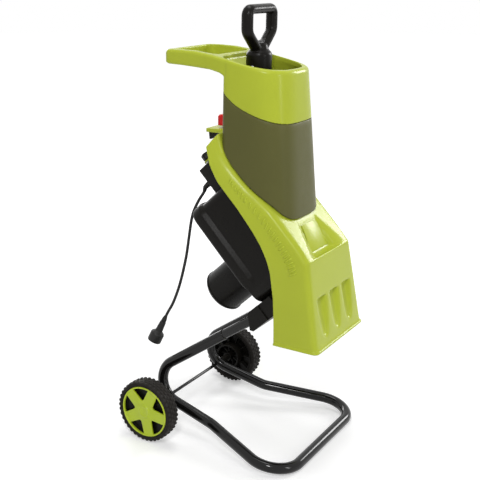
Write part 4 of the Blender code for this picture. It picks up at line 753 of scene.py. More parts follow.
def make_tire(side, word):
    """A knobbly tyre with a bulging wall and a bead line beside the rim."""
    bore = WHEEL_RADIUS - TIRE_WALL
    wall = offsets((bore, 0), (0, 1.2), (1.6, 0.4), (2.4, 1.2), (3.4, 0.2), (7, 0), (8.6, 1.2),
                   (9.8, 4.4), (10.6, 11))
    profile = [(r, WHEEL_OUTER_X - inset) for r, inset in wall]
    profile += [(r, WHEEL_OUTER_X - TIRE_WIDTH + inset) for r, inset in wall[::-1]]
    carcass = wheel_ring(side, profile, 96, 0.0008, 2)
    show(f"knobbly_tire_{word}", joined(carcass, *tread_knobs(side)), f"tire_{word}", angle=38)


def make_wheel(side, word):
    """Black wheel behind the cover: rim, web, hub drum and axle sleeve, with ribs."""
    out, bore, hub = WHEEL_OUTER_X, AXLE_RADIUS + 2 * GAP, HUB_RADIUS
    drum, rim, sunk = DRUM_RADIUS, RIM_RADIUS, 0.0005
    in_drum, in_rim = drum - WHEEL_WALL, rim - WHEEL_WALL
    reach, web, back = out - HUB_REACH, out - WEB_INSET, out - TIRE_WIDTH + REAR_INSET
    profile = [(bore, reach), (hub, reach), (hub, web), (in_drum, web),
               (in_drum, reach + REAR_INSET), (drum, reach + REAR_INSET), (drum, web),
               (in_rim, web), (in_rim, back), (rim, back), (rim, out - RIM_INSET),
               (in_rim, out - RIM_INSET), (in_rim, web + WEB_THICKNESS),
               (bore, web + WEB_THICKNESS)]
    parts = [wheel_ring(side, profile, 80, 0.001)]
    for k in range(WHEEL_RIBS):
        for low, high, depth in ((hub - sunk, in_drum + sunk, HUB_RIB_DEPTH),
                                 (drum - sunk, in_rim + sunk, RIM_RIB_DEPTH)):
            rib = box((web - depth, web + 2 * sunk), (low, high),
                      (-WHEEL_RIB_HALF, WHEEL_RIB_HALF))
            rib.transform(Matrix.Translation((0, 0, WHEEL_RADIUS))
                          @ Matrix.Rotation(tau * k / WHEEL_RIBS, 4, "X"))
            if side < 0:
                rib.transform(Matrix.Scale(-1, 4, (1, 0, 0)))
            parts.append(rib)
    show(f"wheel_disc_{word}", joined(*parts), f"wheel_{word}", angle=45)
    ends = span(side, out - CLIP_INSET + GAP, out - CLIP_INSET + CLIP_THICKNESS)
    clip = sleeve(AXLE_RADIUS + GAP, CLIP_RADIUS, *ends, 40, "X", WHEEL_CENTRE)
    show(f"push_clip_{word}", clip, f"axle_clip_{word}", angle=45,
         body=f"wheel_assembly_{word}")


def make_cover(side, word):
    """Lime cover: raised outer ring, five tapering spokes and a domed hub."""
    out, rim = WHEEL_OUTER_X, RIM_RADIUS
    profile = offsets((0, out), (0.5, -6.2))
    profile += offsets((rim, out), (-0.7, -6.2), (0, -5.5), (0, -1.6), (-0.7, -0.6), (-3, -0.3),
                       (-4.2, -1.1), (-5, -2.8))
    profile += offsets((0, out), (18.5, -2.6), (16, -2), (14.6, -0.6), (12, -0.2), (10, -1),
                       (0.5, -0.8))
    disc = placed(turned([(r, side * x) for r, x in profile], 120, "X", WHEEL_CENTRE))
    windows = []
    for k in range(SPOKES):
        middle = tau * k / SPOKES + SPOKE_TURN
        outline = [polar(WHEEL_CENTRE, radius, middle + radians(turn))
                   for radius, turns in zip(WINDOW_RADII, WINDOW_TURNS) for turn in turns]
        windows.append(prism(eased(outline, WINDOW_CORNER), *span(side, out - 0.02, out + 0.01)))
    disc = bevelled(cut(disc, placed(joined(*windows))), 0.0007, 2, 50)
    disc.transform(MACHINE)
    add_piece(f"spoked_cover_{word}", disc, f"wheel_cover_{word}")


def make_wheels():
    for side, word in SIDES:
        make_tire(side, word)
        make_wheel(side, word)
        make_cover(side, word)


# Motor housing, motor cover, and the nodes that only get rounded edges

CASE_WALL = 0.003
CASE_HALF_WIDTH = 0.106
CASE_LOW_U, CASE_HIGH_U = 0.0925, 0.348
CASE_RIM_M = 0.532
CASE_CORNER = 0.024
SUMP_HALF_WIDTH = 0.114
SUMP_LOW_U, SUMP_HIGH_U = 0.122, 0.353
SUMP_FLOOR_M = 0.4195
SUMP_HEIGHT = 0.038
SUMP_CORNER, SUMP_EDGE = 0.03, 0.009
SUMP_SLOPE = (0.0083, 0.01)   # run in and fall of the sloped face under the ledge
CASE_FLOOR_M = SUMP_FLOOR_M + 0.005
DECK_LOW_U = 0.138
MOTOR_U = 0.178
MOTOR_RADIUS = 0.052
MOTOR_END_M = 0.286
NOSE_M, INNER_NOSE_M = 0.485, (0.481, 0.4835)      # where the case's cut-off lower end starts
CLEAR_OF_NOSE = ((0.12, 0.56), (0.06, 0.56))
CAN_HOLE_RADIUS = 0.018
SLOTS_IN_CAN, SLOT_RING, SLOT_HALF_WIDTH = 12, (0.0265, 0.041), 0.002
BOXY = {"tube_bracket": ("arm_bracket", 0.0022), "deck_plate": ("deck_cover", 0.0006),
        "switch_box": ("switch_case", 0.0016), "switch_pod": ("button_pod", 0.0012),
        "stop_button": ("red_button", 0.0016), "lock_knob": ("hand_knob", 0.0011),
        "bracket_bolt_right": ("bolt_right", 0.0004),
        "bracket_bolt_left": ("bolt_left", 0.0004), "name_plate": ("bare_plate", 0.0005),
        "tamper_paddle": ("paddle", 0.0015), "disc_nut": ("hex_nut", 0.0006),
        "feed_throat": ("throat_duct", 0.0008)}      # node: piece, edge radius


def case_loft(half_width, u_range, levels, radius):
    """Rounded box in deck coordinates. levels are (m, inset) pairs."""
    loops = []
    for m, inset in levels:
        outline = rounded_rectangle(-half_width + inset, half_width - inset, u_range[0] + inset,
                                    u_range[1] - inset, max(radius - inset, 0.002))
        loops.append([(x, u, m) for x, u in outline])
    return placed(solid_loft(loops))


def make_motor_base():
    """The tub that holds the gears, with its wider sump below the ledge."""
    wall, sump_top = CASE_WALL, SUMP_FLOOR_M + SUMP_HEIGHT
    base = case_loft(CASE_HALF_WIDTH, (CASE_LOW_U, CASE_HIGH_U),
                     [(CASE_FLOOR_M, 0), (CASE_RIM_M, 0)], CASE_CORNER)
    round_edge = [(SUMP_FLOOR_M + SUMP_EDGE * (1 - cos(angle)),
                   SUMP_EDGE * (1 - sin(angle)))
                  for angle in (radians(90 * k / 5) for k in range(6))]
    sump = case_loft(SUMP_HALF_WIDTH, (SUMP_LOW_U, SUMP_HIGH_U),
                     round_edge + [(sump_top - SUMP_SLOPE[1], 0), (sump_top, SUMP_SLOPE[0])],
                     SUMP_CORNER)
    base = cut(base, sump, operation="UNION")
    nose = prism([(0.06, NOSE_M), (CASE_LOW_U, NOSE_M), (DECK_LOW_U - 0.001, CASE_RIM_M),
                  *CLEAR_OF_NOSE], -0.2, 0.2)
    room = case_loft(CASE_HALF_WIDTH - wall, (CASE_LOW_U + wall, CASE_HIGH_U - wall),
                     [(CASE_FLOOR_M + wall, 0), (CASE_RIM_M + 0.01, 0)], CASE_CORNER - wall)
    inner_nose = prism([(0.06, INNER_NOSE_M[0]), (CASE_LOW_U + wall, INNER_NOSE_M[1]),
                        (DECK_LOW_U + wall, CASE_RIM_M + 0.0005), *CLEAR_OF_NOSE], -0.2, 0.2)
    can_hole = rod(CAN_HOLE_RADIUS, SUMP_FLOOR_M - 0.02, SUMP_FLOOR_M + 0.02, 40, "Z",
                   (0, MOTOR_U), 0.0002)
    base = cut(base, placed(nose), cut(room, placed(inner_nose)), placed(can_hole))
    base = bevelled(base, 0.0009, 2, 34)
    base.transform(DECK)
    add_piece("gear_case", base, "motor_base")


def make_motor_can():
    """Motor cover with a rounded end, a rib band, cooling slots and a mounting flange."""
    r, end, seat = MOTOR_RADIUS, MOTOR_END_M, SUMP_FLOOR_M - GAP
    profile = offsets((0, end), (20, 1.2), (43, 0), (47.5, 1.2), (50.5, 4.4))
    profile += offsets((r, end), (0.4, 7.2), (1.5, 7.8), (1.5, 11.2), (-0.2, 11.8), (-0.2, 12.8),
                       (0, 13.4))
    profile += offsets((r, seat), (0, -10), (1.4, -5.5), (5, -4.5), (5, 0), (-2.7, 0))
    profile += offsets((r, end), (-2.7, 8)) + offsets((0, end), (45, 3), (20, 3))
    can = placed(turned(eased(profile, 0.0007), 96, "Z", (0, MOTOR_U), ring=True))
    slots = []
    for k in range(SLOTS_IN_CAN):
        outline = rounded_rectangle(*SLOT_RING, -SLOT_HALF_WIDTH, SLOT_HALF_WIDTH, 0.0019, 4)
        slot = prism(outline, end - 0.01, end + 0.0065, "Z")
        slot.transform(Matrix.Translation((0, MOTOR_U, 0))
                       @ Matrix.Rotation(tau * (k + 0.5) / SLOTS_IN_CAN, 4, "Z"))
        slots.append(slot)
    can = cut(can, placed(joined(*slots)))
    shade(can, 35)
    can.transform(DECK)
    add_piece("motor_cover", can, "motor_can")
    cap = offsets((0, end), (11.5, 1.6), (14, 0.6), (22.5, 0.6), (23.5, 1.6), (23.5, 4),
                  (11.5, 12.5))
    show("motor_cover_hub", turned(eased(cap, 0.0006), 48, "Z", (0, MOTOR_U), ring=True),
         space=DECK, angle=45, slot="black_plastic", body="stand")


def make_boxy_pieces():
    """Nodes whose shape is right get rounded edges, as moulds and castings have."""
    for node, (name, width) in BOXY.items():
        add_piece(name, bevelled(node_copy(node), width), node)


# Chute housing. A row of it has a crest, where roof and skirt meet, and a skirt edge.

MOULDED_ON = {"slot": "green_plastic", "body": "hopper"}
SHELL_WALL = 0.003
CHUTE_HALF_WIDTH = 0.12
CHUTE_LIP_Z = 0.28
CHUTE_LIP_FRONT_Y = -0.3926
CHUTE_FRONT_LEAN = 0.176
LIP_ROWS = ((0, 0.0022), (0.0006, 0.003), (0.0036, 0.003), (0.0046, 0.0024),
            (0.0056, 0))      # height above the lip's foot, and how far it stands out
LIP_REACH = 0.02
ROOF_M = 0.592
ROOF_END_U = 0.236
ROOF_KICK = 0.009
CREST_X, KINK_CREST_X = 0.1065, 0.109
HOUSING_TOP_U = 0.4365
KINK_U, KINK_DROP = 0.0935, 0.0035
FRONT_ROWS = ((CHUTE_HALF_WIDTH, CHUTE_LIP_Z, -0.2873, CHUTE_LIP_Z),
              (0.1175, 0.335, -0.286, 0.335), (0.1145, 0.394, -0.283, 0.387),
              (0.1115, 0.446, -0.279, 0.413))      # crest x and z, edge y and z
KINK_EDGE = (-0.274, 0.445)
FLAT_ROWS = ((0.13, 0.1554, -0.0735), (0.182, 0.1881, -0.0642),
             (ROOF_END_U, 0.2221, -0.0591))      # crest u, edge u, edge below the roof
UPPER_ROWS = ((0.314, -0.0123, 0.234, -0.0552), (0.514, -0.0158, 0.4425, -0.0555),
              (0.671, -0.0149, 0.6, -0.0552), (0.83, -0.0085, 0.794, -0.0458),
              (1.0, ROOF_KICK, 0.968, -0.025))      # share of the length and height, for both
FRONT_CORNER, SIDE_CORNER = 0.014, 0.014
UPPER_CORNER, UPPER_SIDE_CORNER = 0.012, 0.026
POCKET_LOW_U, POCKET_HIGH_U, POCKET_RUN = 0.0951, 0.187, 0.0909
POCKET_WIDE, POCKET_NARROW = 0.0815, 0.043      # half-widths at its low and high end
POCKET_FLOOR_X, POCKET_LEDGE_X, POCKET_TAPER = 0.044, 0.05, 0.011
VALLEY_DEPTHS = ((POCKET_LOW_U, 0), (0.1003, 0.0115), (0.184, 0.0008), (POCKET_HIGH_U, 0))
FLOOR_DEPTHS = ((POCKET_LOW_U, 0), (0.1003, 0.012), (0.1095, 0.0195), (0.18, 0.0015),
                (POCKET_HIGH_U, 0))
PLAIN_COLUMNS = ([0.016, 0.031, 0.045, 0.058, 0.066, 0.078], [0.0] * 7)
NECK_HOLE_U, NECK_HOLE_X = (0.304, 0.398), 0.057
CREASE, CREASE_ANGLE = 0.8, radians(24)
END_WALL = (HOUSING_TOP_U - 0.011, HOUSING_TOP_U - 0.0082)
END_WALL_LOW_M = 0.568
HINGE = (0.0762, 0.49)
LOCK_X, LOCK_M = -0.03, 0.4985
TAB_RADIUS, BORE_RADIUS = 0.0135, 0.0043
SHELF_HALF_WIDTH, SHELF_REAR_Y = 0.034, -0.055
SHELF_DROP, SHELF_THICKNESS = 0.004, 0.009
BUTTON_Y, BUTTON_HOLE_HALF = -0.089, 0.0064
FLUTE_X = 0.0618
FLUTE_ROWS = ((0.3065, 0.0072, 0), (0.31, 0.0086, 0.005), (0.322, 0.0118, 0.0072),
              (0.342, 0.0152, 0.0094), (0.364, 0.0174, 0.011), (0.388, 0.019, 0.012),
              (0.3908, 0.0192, 0.012), (0.3924, 0.0194, 0))   # height, half-width, depth
FLUTE_RAMP = 0.0022
RIB_COUNT = 23
RIB_START, RIB_END = 3.6, 9.2       # places among the housing's rows
RIB_LOW, RIB_HIGH = 0.3, 0.53      # shares of the way from crest to skirt edge
RIB_LEAN, RIB_RADIUS = 0.0036, 0.0022


def housing_rows():
    """Crest and skirt edge of the chute housing, from lip to top."""
    skirt_x = CHUTE_HALF_WIDTH
    rows = [((x, CHUTE_LIP_FRONT_Y + CHUTE_FRONT_LEAN * (z - CHUTE_LIP_Z), z),
             (skirt_x, edge_y, edge_z)) for x, z, edge_y, edge_z in FRONT_ROWS]
    rows.append((deck_point(KINK_U, ROOF_M - KINK_DROP, KINK_CREST_X), (skirt_x, *KINK_EDGE)))
    rows += [(deck_point(u, ROOF_M, CREST_X), deck_point(edge_u, ROOF_M + below, skirt_x))
             for u, edge_u, below in FLAT_ROWS]
    length = HOUSING_TOP_U - ROOF_END_U
    for share, rise, edge_share, edge_rise in UPPER_ROWS:
        rows.append((deck_point(ROOF_END_U + length * share, ROOF_M + rise, CREST_X),
                     deck_point(ROOF_END_U + length * edge_share, ROOF_M + edge_rise,
                                skirt_x - 0.001 * (share == 1.0))))
    return [(Vector(crest), Vector(edge)) for crest, edge in rows]


HOUSING = housing_rows()
FRONT_HEIGHTS = [crest.z for crest, _ in HOUSING[:5]]
ROOF_PLACES = [KINK_U] + [row[0] for row in FLAT_ROWS]
UPPER_SHARES = [0.0] + [row[0] for row in UPPER_ROWS]


def row_between(keys, value, first):
    """Crest and edge of the housing part way between two of its rows."""
    i = clamped(bisect.bisect_left(keys, value), 1, len(keys) - 1)
    t = (value - keys[i - 1]) / (keys[i] - keys[i - 1])
    (crest_a, edge_a), (crest_b, edge_b) = HOUSING[first + i - 1], HOUSING[first + i]
    return crest_a.lerp(crest_b, t), edge_a.lerp(edge_b, t)


def roof_z(y):
    """Height of the housing's roof line, which the neck cover stands on."""
    return between(y, [(crest.y, crest.z) for crest, _ in HOUSING[3:]])


def flute_columns(z):
    """Widths and depths across half the front: middle flute, then side flute."""
    z = clamped(z, FLUTE_ROWS[0][0], FLUTE_ROWS[-1][0])
    half = between(z, [(row[0], row[1]) for row in FLUTE_ROWS])
    depth = between(z, [(row[0], row[2]) for row in FLUTE_ROWS])
    ramp = min(FLUTE_RAMP, half * 0.8)
    return ([half - ramp, half, FLUTE_X - half, FLUTE_X - half + ramp, FLUTE_X + half - ramp,
             FLUTE_X + half], [depth, depth, 0, 0, depth, depth, 0])


def pocket_columns(u):
    """Widths and depths across half the roof: tilted floor, then the valley round it."""
    surface = KINK_DROP * max(0, 1 - (u - KINK_U) / (ROOF_PLACES[1] - KINK_U))
    share = clamped((u - POCKET_LOW_U) / POCKET_RUN)
    outer = POCKET_WIDE + (POCKET_NARROW - POCKET_WIDE) * share
    floor_edge, ledge = (x - POCKET_TAPER * share for x in (POCKET_FLOOR_X, POCKET_LEDGE_X))
    valley, floor = between(u, VALLEY_DEPTHS), between(u, FLOOR_DEPTHS)
    depths = [max(0, d - surface) for d in (floor, floor, floor, floor, valley, valley / 2, 0)]
    return [0.016, 0.031, floor_edge, ledge, (ledge + outer) / 2, outer], depths


def levelled(a, b, t):
    """Columns part way from one set's widths to another's, without depth."""
    return [p + (q - p) * t for p, q in zip(a[0], b[0])], [0.0] * 7


def housing_section(crest, edge, columns, inward, corner=FRONT_CORNER, side_corner=SIDE_CORNER):
    """Points of one cross-section, from the right skirt edge over the front to the left."""
    middle = Vector((0, crest.y, crest.z))
    a = crest + (edge - crest).normalized() * side_corner
    b = crest + (middle - crest).normalized() * corner
    rim = edge + (crest - edge).normalized() * 0.004
    half = [edge, rim] + [rim.lerp(a, share) for share in (0.3, 0.6, 0.85)]
    for k in range(6):
        t = k / 5
        half.append(a * (1 - t) ** 2 + crest * 2 * t * (1 - t) + b * t ** 2)
    widths, depths = columns
    half.append(Vector(((b.x + widths[5]) / 2, b.y, b.z)))
    steps = list(zip(widths, depths[1:]))
    for i, j in ((5, 5), (4, 4), (4, 3), (3, 3), (2, 2), (2, 1), (1, 1), (0, 0)):
        x, depth = ((steps[i][k] + steps[j][k]) / 2 for k in (0, 1))
        half.append(Vector((x, crest.y, crest.z)) + inward * depth)
    mirrored = [Vector((-p.x, p.y, p.z)) for p in half]
    return mirrored + [middle + inward * depths[0]] + half[::-1]


def housing_grid():
    """Cross-sections from the lip over the front, the pocket and the roof to the top end."""
    lean = Vector((0, 1, -CHUTE_FRONT_LEAN)).normalized()
    down = deck_point(0, -1)
    lip, edge = HOUSING[0]
    section = housing_section(lip, edge, flute_columns(CHUTE_LIP_Z), lean)
    grid = [[p + Vector((copysign(proud, p.x) if abs(p.x) > 0.1 else 0,
                         -proud if p.y < lip.y + LIP_REACH else 0, rise)) for p in section]
            for rise, proud in LIP_ROWS]
    flute_top, front_top = FLUTE_ROWS[-1][0], FRONT_HEIGHTS[-1]
    for z in (0.294, *[row[0] for row in FLUTE_ROWS], 0.4, 0.415, 0.432, 0.45, 0.464, 0.472,
              front_top):
        columns = flute_columns(z)
        if z > flute_top:
            share = (z - flute_top) / (front_top - flute_top)
            columns = levelled(columns, pocket_columns(POCKET_LOW_U), share)
        grid.append(housing_section(*row_between(FRONT_HEIGHTS, z, 0), columns, lean))
    for u in (POCKET_LOW_U, 0.0972, 0.1003, 0.105, 0.1095, 0.122, 0.14, 0.16, 0.178,
              0.184, POCKET_HIGH_U, 0.196, 0.216, ROOF_END_U):
        columns = pocket_columns(u)
        if u > POCKET_HIGH_U:
            share = (u - POCKET_HIGH_U) / (ROOF_END_U - POCKET_HIGH_U)
            columns = levelled(columns, PLAIN_COLUMNS, share)
        grid.append(housing_section(*row_between(ROOF_PLACES, u, 4), columns, down))
    for share in (0.16, 0.314, 0.344, 0.42, 0.514, 0.59, 0.671, 0.74, 0.8, 0.85, 0.93, 0.985, 1.0):
        grid.append(housing_section(*row_between(UPPER_SHARES, share, 7), PLAIN_COLUMNS, down,
                                    UPPER_CORNER, UPPER_SIDE_CORNER))
    return grid


def make_housing():
    """The green shell, its end wall with lock tab and shelf, and what is moulded on."""
    bm = bmesh.new()
    rows = [[bm.verts.new(p) for p in section] for section in housing_grid()]
    hole_low, hole_high = (deck_point(u, ROOF_M).y for u in NECK_HOLE_U)
    for low, high in zip(rows, rows[1:]):
        for i in range(len(low) - 1):
            corners = (low[i], low[i + 1], high[i + 1], high[i])
            centre = sum((v.co for v in corners), Vector()) / 4
            if abs(centre.x) >= NECK_HOLE_X or not hole_low + 0.002 < centre.y < hole_high:
                bm.faces.new(corners)
    crease = bm.edges.layers.float.new("crease_edge")
    for edge in bm.edges:
        if len(edge.link_faces) == 2 and edge.calc_face_angle() > CREASE_ANGLE:
            edge[crease] = CREASE
    stray = [v for v in bm.verts if not v.link_faces]
    bmesh.ops.delete(bm, geom=stray, context="VERTS")
    shell = worked(placed(bm, MACHINE),
                   ("SOLIDIFY", {"thickness": SHELL_WALL, "offset": -1.0,
                                 "use_even_offset": True, "edge_crease_rim": 0.5}),
                   ("SUBSURF", {"levels": 2, "render_levels": 2}))
    shell.shade_smooth()
    add_piece("housing_shell", shell, "chute_housing")
    make_end_wall()
    make_shelf()
    make_hinge_bosses()
    make_skirt_ribs(shell)


def make_end_wall():
    """Wall across the housing's upper end, with the tab that the lock screw goes through."""
    half = [(0.116, END_WALL_LOW_M)]
    half += offsets((0, ROOF_M), (109.5, -7.5), (106.5, -2.7), (103, 0.2), (97, 2.2))
    tab = [polar((LOCK_X, LOCK_M), TAB_RADIUS, radians(a)) for a in range(180, 361, 10)]
    tab += [(LOCK_X + side * TAB_RADIUS, END_WALL_LOW_M + 0.006) for side in (1, -1)]
    wall, tab = (placed(prism(outline, *END_WALL, "Y"), DECK)
                 for outline in (with_mirror(half), tab))
    hole = rod(BORE_RADIUS, END_WALL[0] - 0.01, END_WALL[1] + 0.01, 24, "Y", (LOCK_X, LOCK_M),
               0.0002)
    wall = cut(cut(wall, tab, operation="UNION"), placed(hole, DECK))
    add_piece("housing_end_wall", bevelled(wall), **MOULDED_ON)


def make_shelf():
    """Shelf behind the end wall, with the square hole that the button stands in."""
    end_y, end_z = from_deck(HOUSING_TOP_U, ROOF_M + ROOF_KICK)
    top = end_z - SHELF_DROP
    low = top - SHELF_THICKNESS
    outline = [(end_y - 0.0009, top), (SHELF_REAR_Y, top), (SHELF_REAR_Y, low),
               (end_y + 0.0211, low), *offsets((end_y, end_z), (10.1, -25), (1.1, -15))]
    shelf = placed(prism(outline, -SHELF_HALF_WIDTH, SHELF_HALF_WIDTH), MACHINE)
    hole = box((-BUTTON_HOLE_HALF, BUTTON_HOLE_HALF),
               (BUTTON_Y - BUTTON_HOLE_HALF, BUTTON_Y + BUTTON_HOLE_HALF), (low - 0.01, top + 0.01))
    shelf = bevelled(cut(shelf, placed(hole, MACHINE)), 0.0014)
    add_piece("button_shelf", shelf, **MOULDED_ON)


def make_hinge_bosses():
    for side, word in SIDES:
        boss = placed(rod(0.0105, *span(side, 0.105, 0.1175), 32, "X", HINGE), DECK)
        bore = rod(BORE_RADIUS, *span(side, 0.1, 0.1125), 24, "X", HINGE, 0.0001)
        boss = cut(boss, placed(bore, DECK))
        shade(boss)
        add_piece(f"hinge_boss_{word}", boss, **MOULDED_ON)


def skirt_point(place, share, side):
    crest, edge = row_between(range(len(HOUSING)), place, 0)
    p = crest.lerp(edge, share)
    return Vector((side * p.x, p.y, p.z))


def make_skirt_ribs(shell):
    """A row of short raised ribs on each side skirt of the shell, below the roof's edge."""
    surface = BVHTree.FromPolygons([v.co for v in shell.vertices],
                                   [p.vertices[:] for p in shell.polygons])
    for side, word in SIDES:
        ribs = []
        for k in range(RIB_COUNT):
            place = RIB_START + (RIB_END - RIB_START) * k / (RIB_COUNT - 1)
            top, foot = skirt_point(place, RIB_LOW, side), skirt_point(place, RIB_HIGH, side)
            foot += deck_point(-RIB_LEAN, 0)
            path = []
            for t in (0, 0.08, 0.36, 0.64, 0.92, 1.0):
                p = MACHINE @ top.lerp(foot, t)
                p.x = surface.ray_cast(Vector((side, p.y, p.z)), Vector((-side, 0, 0)))[0].x
                path.append(p)
            ribs.append(swept(path, [RIB_RADIUS * share for share in (0.3, 1, 1, 1, 1, 0.3)], 8))
        mesh = placed(joined(*ribs))
        mesh.shade_smooth()
        add_piece(f"skirt_ribs_{word}", mesh, **MOULDED_ON)


# Hopper

NECK_CENTRE_Y = -0.165
NECK_WALL = 0.003
NECK_REAR_REACH = 0.036
NECK_POINTS = 96
RIM_FRONT_Z, RIM_RISE = 0.868, 0.037
RIM_ROUND = ((0.0085, 0), (0.0058, 0.0004), (0.0035, 0.0013), (0.002, 0.0024),
             (0.001, 0.0038), (0, 0.0068))    # depth, inset
MOUTH_TOP_Z, NECK_FOOT_Z = 0.88, 0.552
LOOP_HALF_WIDTH, LOOP_REAR_Y, LOOP_CORNER = 0.0925, 0.02, 0.013
LOOP_FRONT_Y = -0.172
LOOP_SIDE = ((0.0935, LOOP_FRONT_Y), (0.0948, -0.15), (0.0952, -0.125), (0.094, -0.1),
             (0.0927, -0.06), (0.0925, -0.025))
LOOP_UNDERSIDE = ((-0.175, 0.828), (-0.16, 0.8385), (-0.1497, 0.8471), (-0.1397, 0.8538),
                  (-0.13, 0.8587), (-0.124, 0.8612), (-0.115, 0.864), (-0.1027, 0.8661),
                  (-0.0758, 0.8682), (-0.0488, 0.8701), (-0.0217, 0.8718), (0.0138, 0.8729))
LOOP_ARM, LOOP_BAR, DIVIDER = 0.018, 0.017, 0.0115
MOUTH_REAR_Y, MOUTH_FRONT_Y, MOUTH_HALF_WIDTH = -0.116, -0.258, 0.089
MOUTH_LIP, MOUTH_FLARE = 0.01, 0.03
COVER_LEVELS = [(0, 0.004), (0.019, 0.004), (0.022, 0.0008), (0.026, 0),
                *[(k / 16, 0) for k in range(1, 16)], (0.992, 0), (0.997, 0.0004),
                (1.0, 0.0012)]      # share of the height, inset


def super_ellipse(half_width, front, rear, front_power, rear_power):
    """Rounded outline about the neck's middle, from its front round to the left."""
    points = []
    for k in range(NECK_POINTS):
        angle = tau * k / NECK_POINTS - pi / 2
        c, s = cos(angle), sin(angle)
        reach, power = (front, front_power) if s < 0 else (rear, rear_power)
        x = copysign(abs(c) ** (2 / power), c) * half_width if abs(c) > 1e-9 else 0.0
        points.append((x, NECK_CENTRE_Y + copysign(abs(s) ** (2 / power), s) * reach))
    return points


def neck_outline(z, inset):
    """Plan outline of the hopper neck at a height."""
    down = (MOUTH_TOP_Z - z) / (MOUTH_TOP_Z - NECK_FOOT_Z)
    return super_ellipse(0.0965 + 0.0045 * down - inset, 0.105 + 0.027 * down - inset,
                         NECK_REAR_REACH - inset, 2.9 + 1.1 * down, 6.0)


def rim_z(y):
    """Height of the hopper's top edge, which falls towards the front."""
    t = clamped((y + 0.3) / 0.27)
    return RIM_FRONT_Z + RIM_RISE * t * t * (3 - 2 * t)


def upper_seam_z(y):
    """Edge between the bright hopper and the neck cover: level in front, rising behind."""
    t = clamped((y + 0.285) / 0.143, 0, 1.08)
    return 0.757 + 0.045 * t ** 1.3 + 0.013 * t ** 6


def neck_loop(height, inset=0.0):
    """Loop round the neck where its wall meets a height that is a function of y."""
    loop = []
    for i in range(NECK_POINTS):
        x, y, z = 0, NECK_CENTRE_Y, 0.8
        for _ in range(4):
            z = height(y)
            x, y = neck_outline(z, inset)[i]
        loop.append((x, y, z))
    return loop


def loop_outline(inset):
    """Plan outline of the slab behind the mouth, from which the carry loop is cut."""
    centre = (LOOP_HALF_WIDTH - inset - LOOP_CORNER, LOOP_REAR_Y - inset - LOOP_CORNER)
    half = [(x - inset, y) for x, y in LOOP_SIDE]
    half += [polar(centre, LOOP_CORNER, radians(a)) for a in range(0, 91, 10)]
    return [(0, LOOP_FRONT_Y)] + with_mirror(half)


def make_hopper_top():
    """Bright hopper top with its mouth, carry loop and softly rounded rims."""
    def side_height(share):
        return lambda y: ((upper_seam_z(y) + GAP) * (1 - share)
                          + (rim_z(y) - RIM_ROUND[0][0]) * share)

    def under_rim(depth):
        return lambda y: rim_z(y) - depth

    neck = [neck_loop(side_height(k / 4)) for k in range(5)]
    neck += [neck_loop(under_rim(depth), inset) for depth, inset in RIM_ROUND[1:]]
    body = placed(solid_loft(neck, strips=True))
    slab = [[(x, y, between(y, LOOP_UNDERSIDE) + rise) for x, y in loop_outline(inset)]
            for rise, inset in ((0, 0.0045), (0.0012, 0.0018), (0.0045, 0))]
    slab += [[(x, y, rim_z(y) - depth) for x, y in loop_outline(inset)]
             for depth, inset in RIM_ROUND]
    body = cut(body, placed(solid_loft(slab, strips=True)), operation="UNION")
    mouth = super_ellipse(MOUTH_HALF_WIDTH, NECK_CENTRE_Y - MOUTH_FRONT_Y,
                          MOUTH_REAR_Y - NECK_CENTRE_Y, 2.6, 4.0)
    bore = [neck_loop(lambda y: upper_seam_z(y) - 0.05, NECK_WALL),
            neck_loop(under_rim(MOUTH_FLARE), NECK_WALL)]
    bore += [[(x, y, rim_z(y) + rise) for x, y in mouth] for rise in (-MOUTH_LIP, 0.03)]
    hole_x = LOOP_HALF_WIDTH - LOOP_ARM
    hole = rounded_rectangle(-hole_x, hole_x, MOUTH_REAR_Y + DIVIDER, LOOP_REAR_Y - LOOP_BAR, 0.016)
    body = cut(body, placed(solid_loft(bore, strips=True)), placed(prism(hole, 0.8, 0.95, "Z")))
    body = melted(body, 0.0013, 7, 0.35)
    body.transform(MACHINE)
    add_piece("hopper_shell", body, "hopper_top")


def make_neck_cover():
    """Olive wrap round the neck, with its lower edge turned in to a thin dark seam."""
    def level(share, inset):
        ring = neck_loop(lambda y: (roof_z(y) + 0.0006) * (1 - share)
                         + (upper_seam_z(y) - GAP) * share, inset)
        drops = [0.004 * (max(0, abs(x) - (CREST_X - 0.012)) / 0.008) ** 2 for x, _, _ in ring]
        return [(x, y, z - drop * (1 - share) ** 8) for (x, y, z), drop in zip(ring, drops)]

    outer, inner = ([level(share, wall + inset) for share, inset in COVER_LEVELS]
                    for wall in (0, NECK_WALL))
    show("neck_wrap", ring_loft(outer + inner[::-1]), "neck_cover", angle=60)


# Tamper

TAMPER_Y = -0.17
GRIP_RADIUS, GRIP_DEPTH = 0.0105, 0.0135
GRIP_TOP = 1.003 - 0.0105
GRIP_CORNERS = ((0.0115, 0.885), (0.013, 0.908), (0.0535, 0.945), (0.0535, GRIP_TOP))
GRIP_BENDS = [0.015, 0.022, 0.0125]
COLLAR_RADIUS = 0.0285
SHAFT_RADIUS, SHAFT_LOW = 0.0125, 0.701
SOCKET_RADIUS, SOCKET_TOP = 0.0128, 0.88
PIN_Z, PIN_HOLE_RADIUS = 0.868, 0.0028


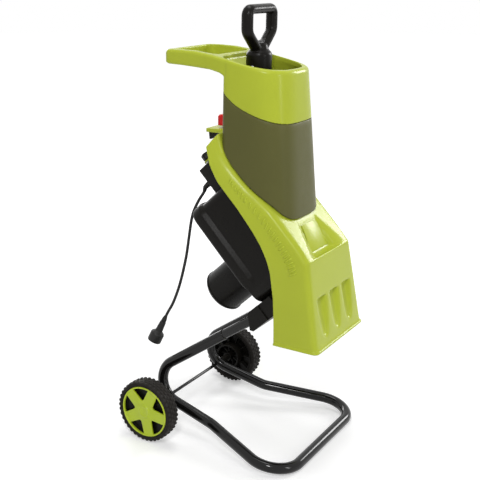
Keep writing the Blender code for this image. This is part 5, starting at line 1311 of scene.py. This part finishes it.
def make_tamper():
    """Grip with collar and web as one smooth moulding, and its shaft and cross pin."""
    path = rounded_path([(x, 0, z) for x, z in with_mirror(list(GRIP_CORNERS))],
                        GRIP_BENDS + GRIP_BENDS[::-1], 8.0)
    bar = swept(path, [GRIP_RADIUS] * len(path), 24, GRIP_DEPTH / GRIP_RADIUS, (0, 1, 0))
    r = COLLAR_RADIUS
    collar = turned(offsets((r, 0), (-1.4, 846), (-0.2, 847.4), (0, 852), (0, 896), (-2, 901),
                            (-6, 905)) + offsets((0, 0), (20, 909), (18, 916), (15, 920)), 64)
    web = prism(offsets((0, 0), (-22, 905), (22, 905), (30, 930), (14, 926.5), (0, 925),
                        (-14, 926.5), (-30, 930)), -0.006, 0.006, "Y")
    grip = cut(placed(bar), placed(collar), placed(web), operation="UNION")
    grip = melted(grip, 0.001, 5, 0.4)
    grip = cut(grip, placed(rod(SOCKET_RADIUS, 0.8, SOCKET_TOP, 40, ease=0.0001)),
               placed(rod(PIN_HOLE_RADIUS, -0.05, 0.05, 20, "X", (0, PIN_Z), 0.0001)))
    shade(grip, 42)
    place = MACHINE @ Matrix.Translation((0, TAMPER_Y, 0))
    grip.transform(place)
    add_piece("d_grip", grip, "tamper_grip")
    shaft = rod(SHAFT_RADIUS, SHAFT_LOW, SOCKET_TOP - GAP, 48, ease=0.001)
    show("shaft", shaft, "tamper_shaft", place, 40)
    pin = turned([(0.003, -r - 0.0018), (0.0045, -r - 0.0014), (0.0052, -r - 0.0008),
                  (0.0052, -r - 0.0003), (0.0025, -r - 0.0002), (0.0025, r - 0.002)], 28, "X",
                 (0, PIN_Z))
    show("cross_pin", pin, "tamper_pin", place, 40)


def dress_cad_nodes():
    """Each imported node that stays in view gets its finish."""
    for name, node in frame["nodes"].items():
        node.data.materials.clear()
        node.data.materials.append(MATERIALS[SLOTS[name]])


bpy.context.scene.view_settings.view_transform = "Standard"
make_camera()
make_cord()
make_studio()
dress_cad_nodes()
make_stand()
make_wheels()
make_motor_base()
make_motor_can()
make_boxy_pieces()
make_housing()
make_hopper_top()
make_neck_cover()
make_tamper()
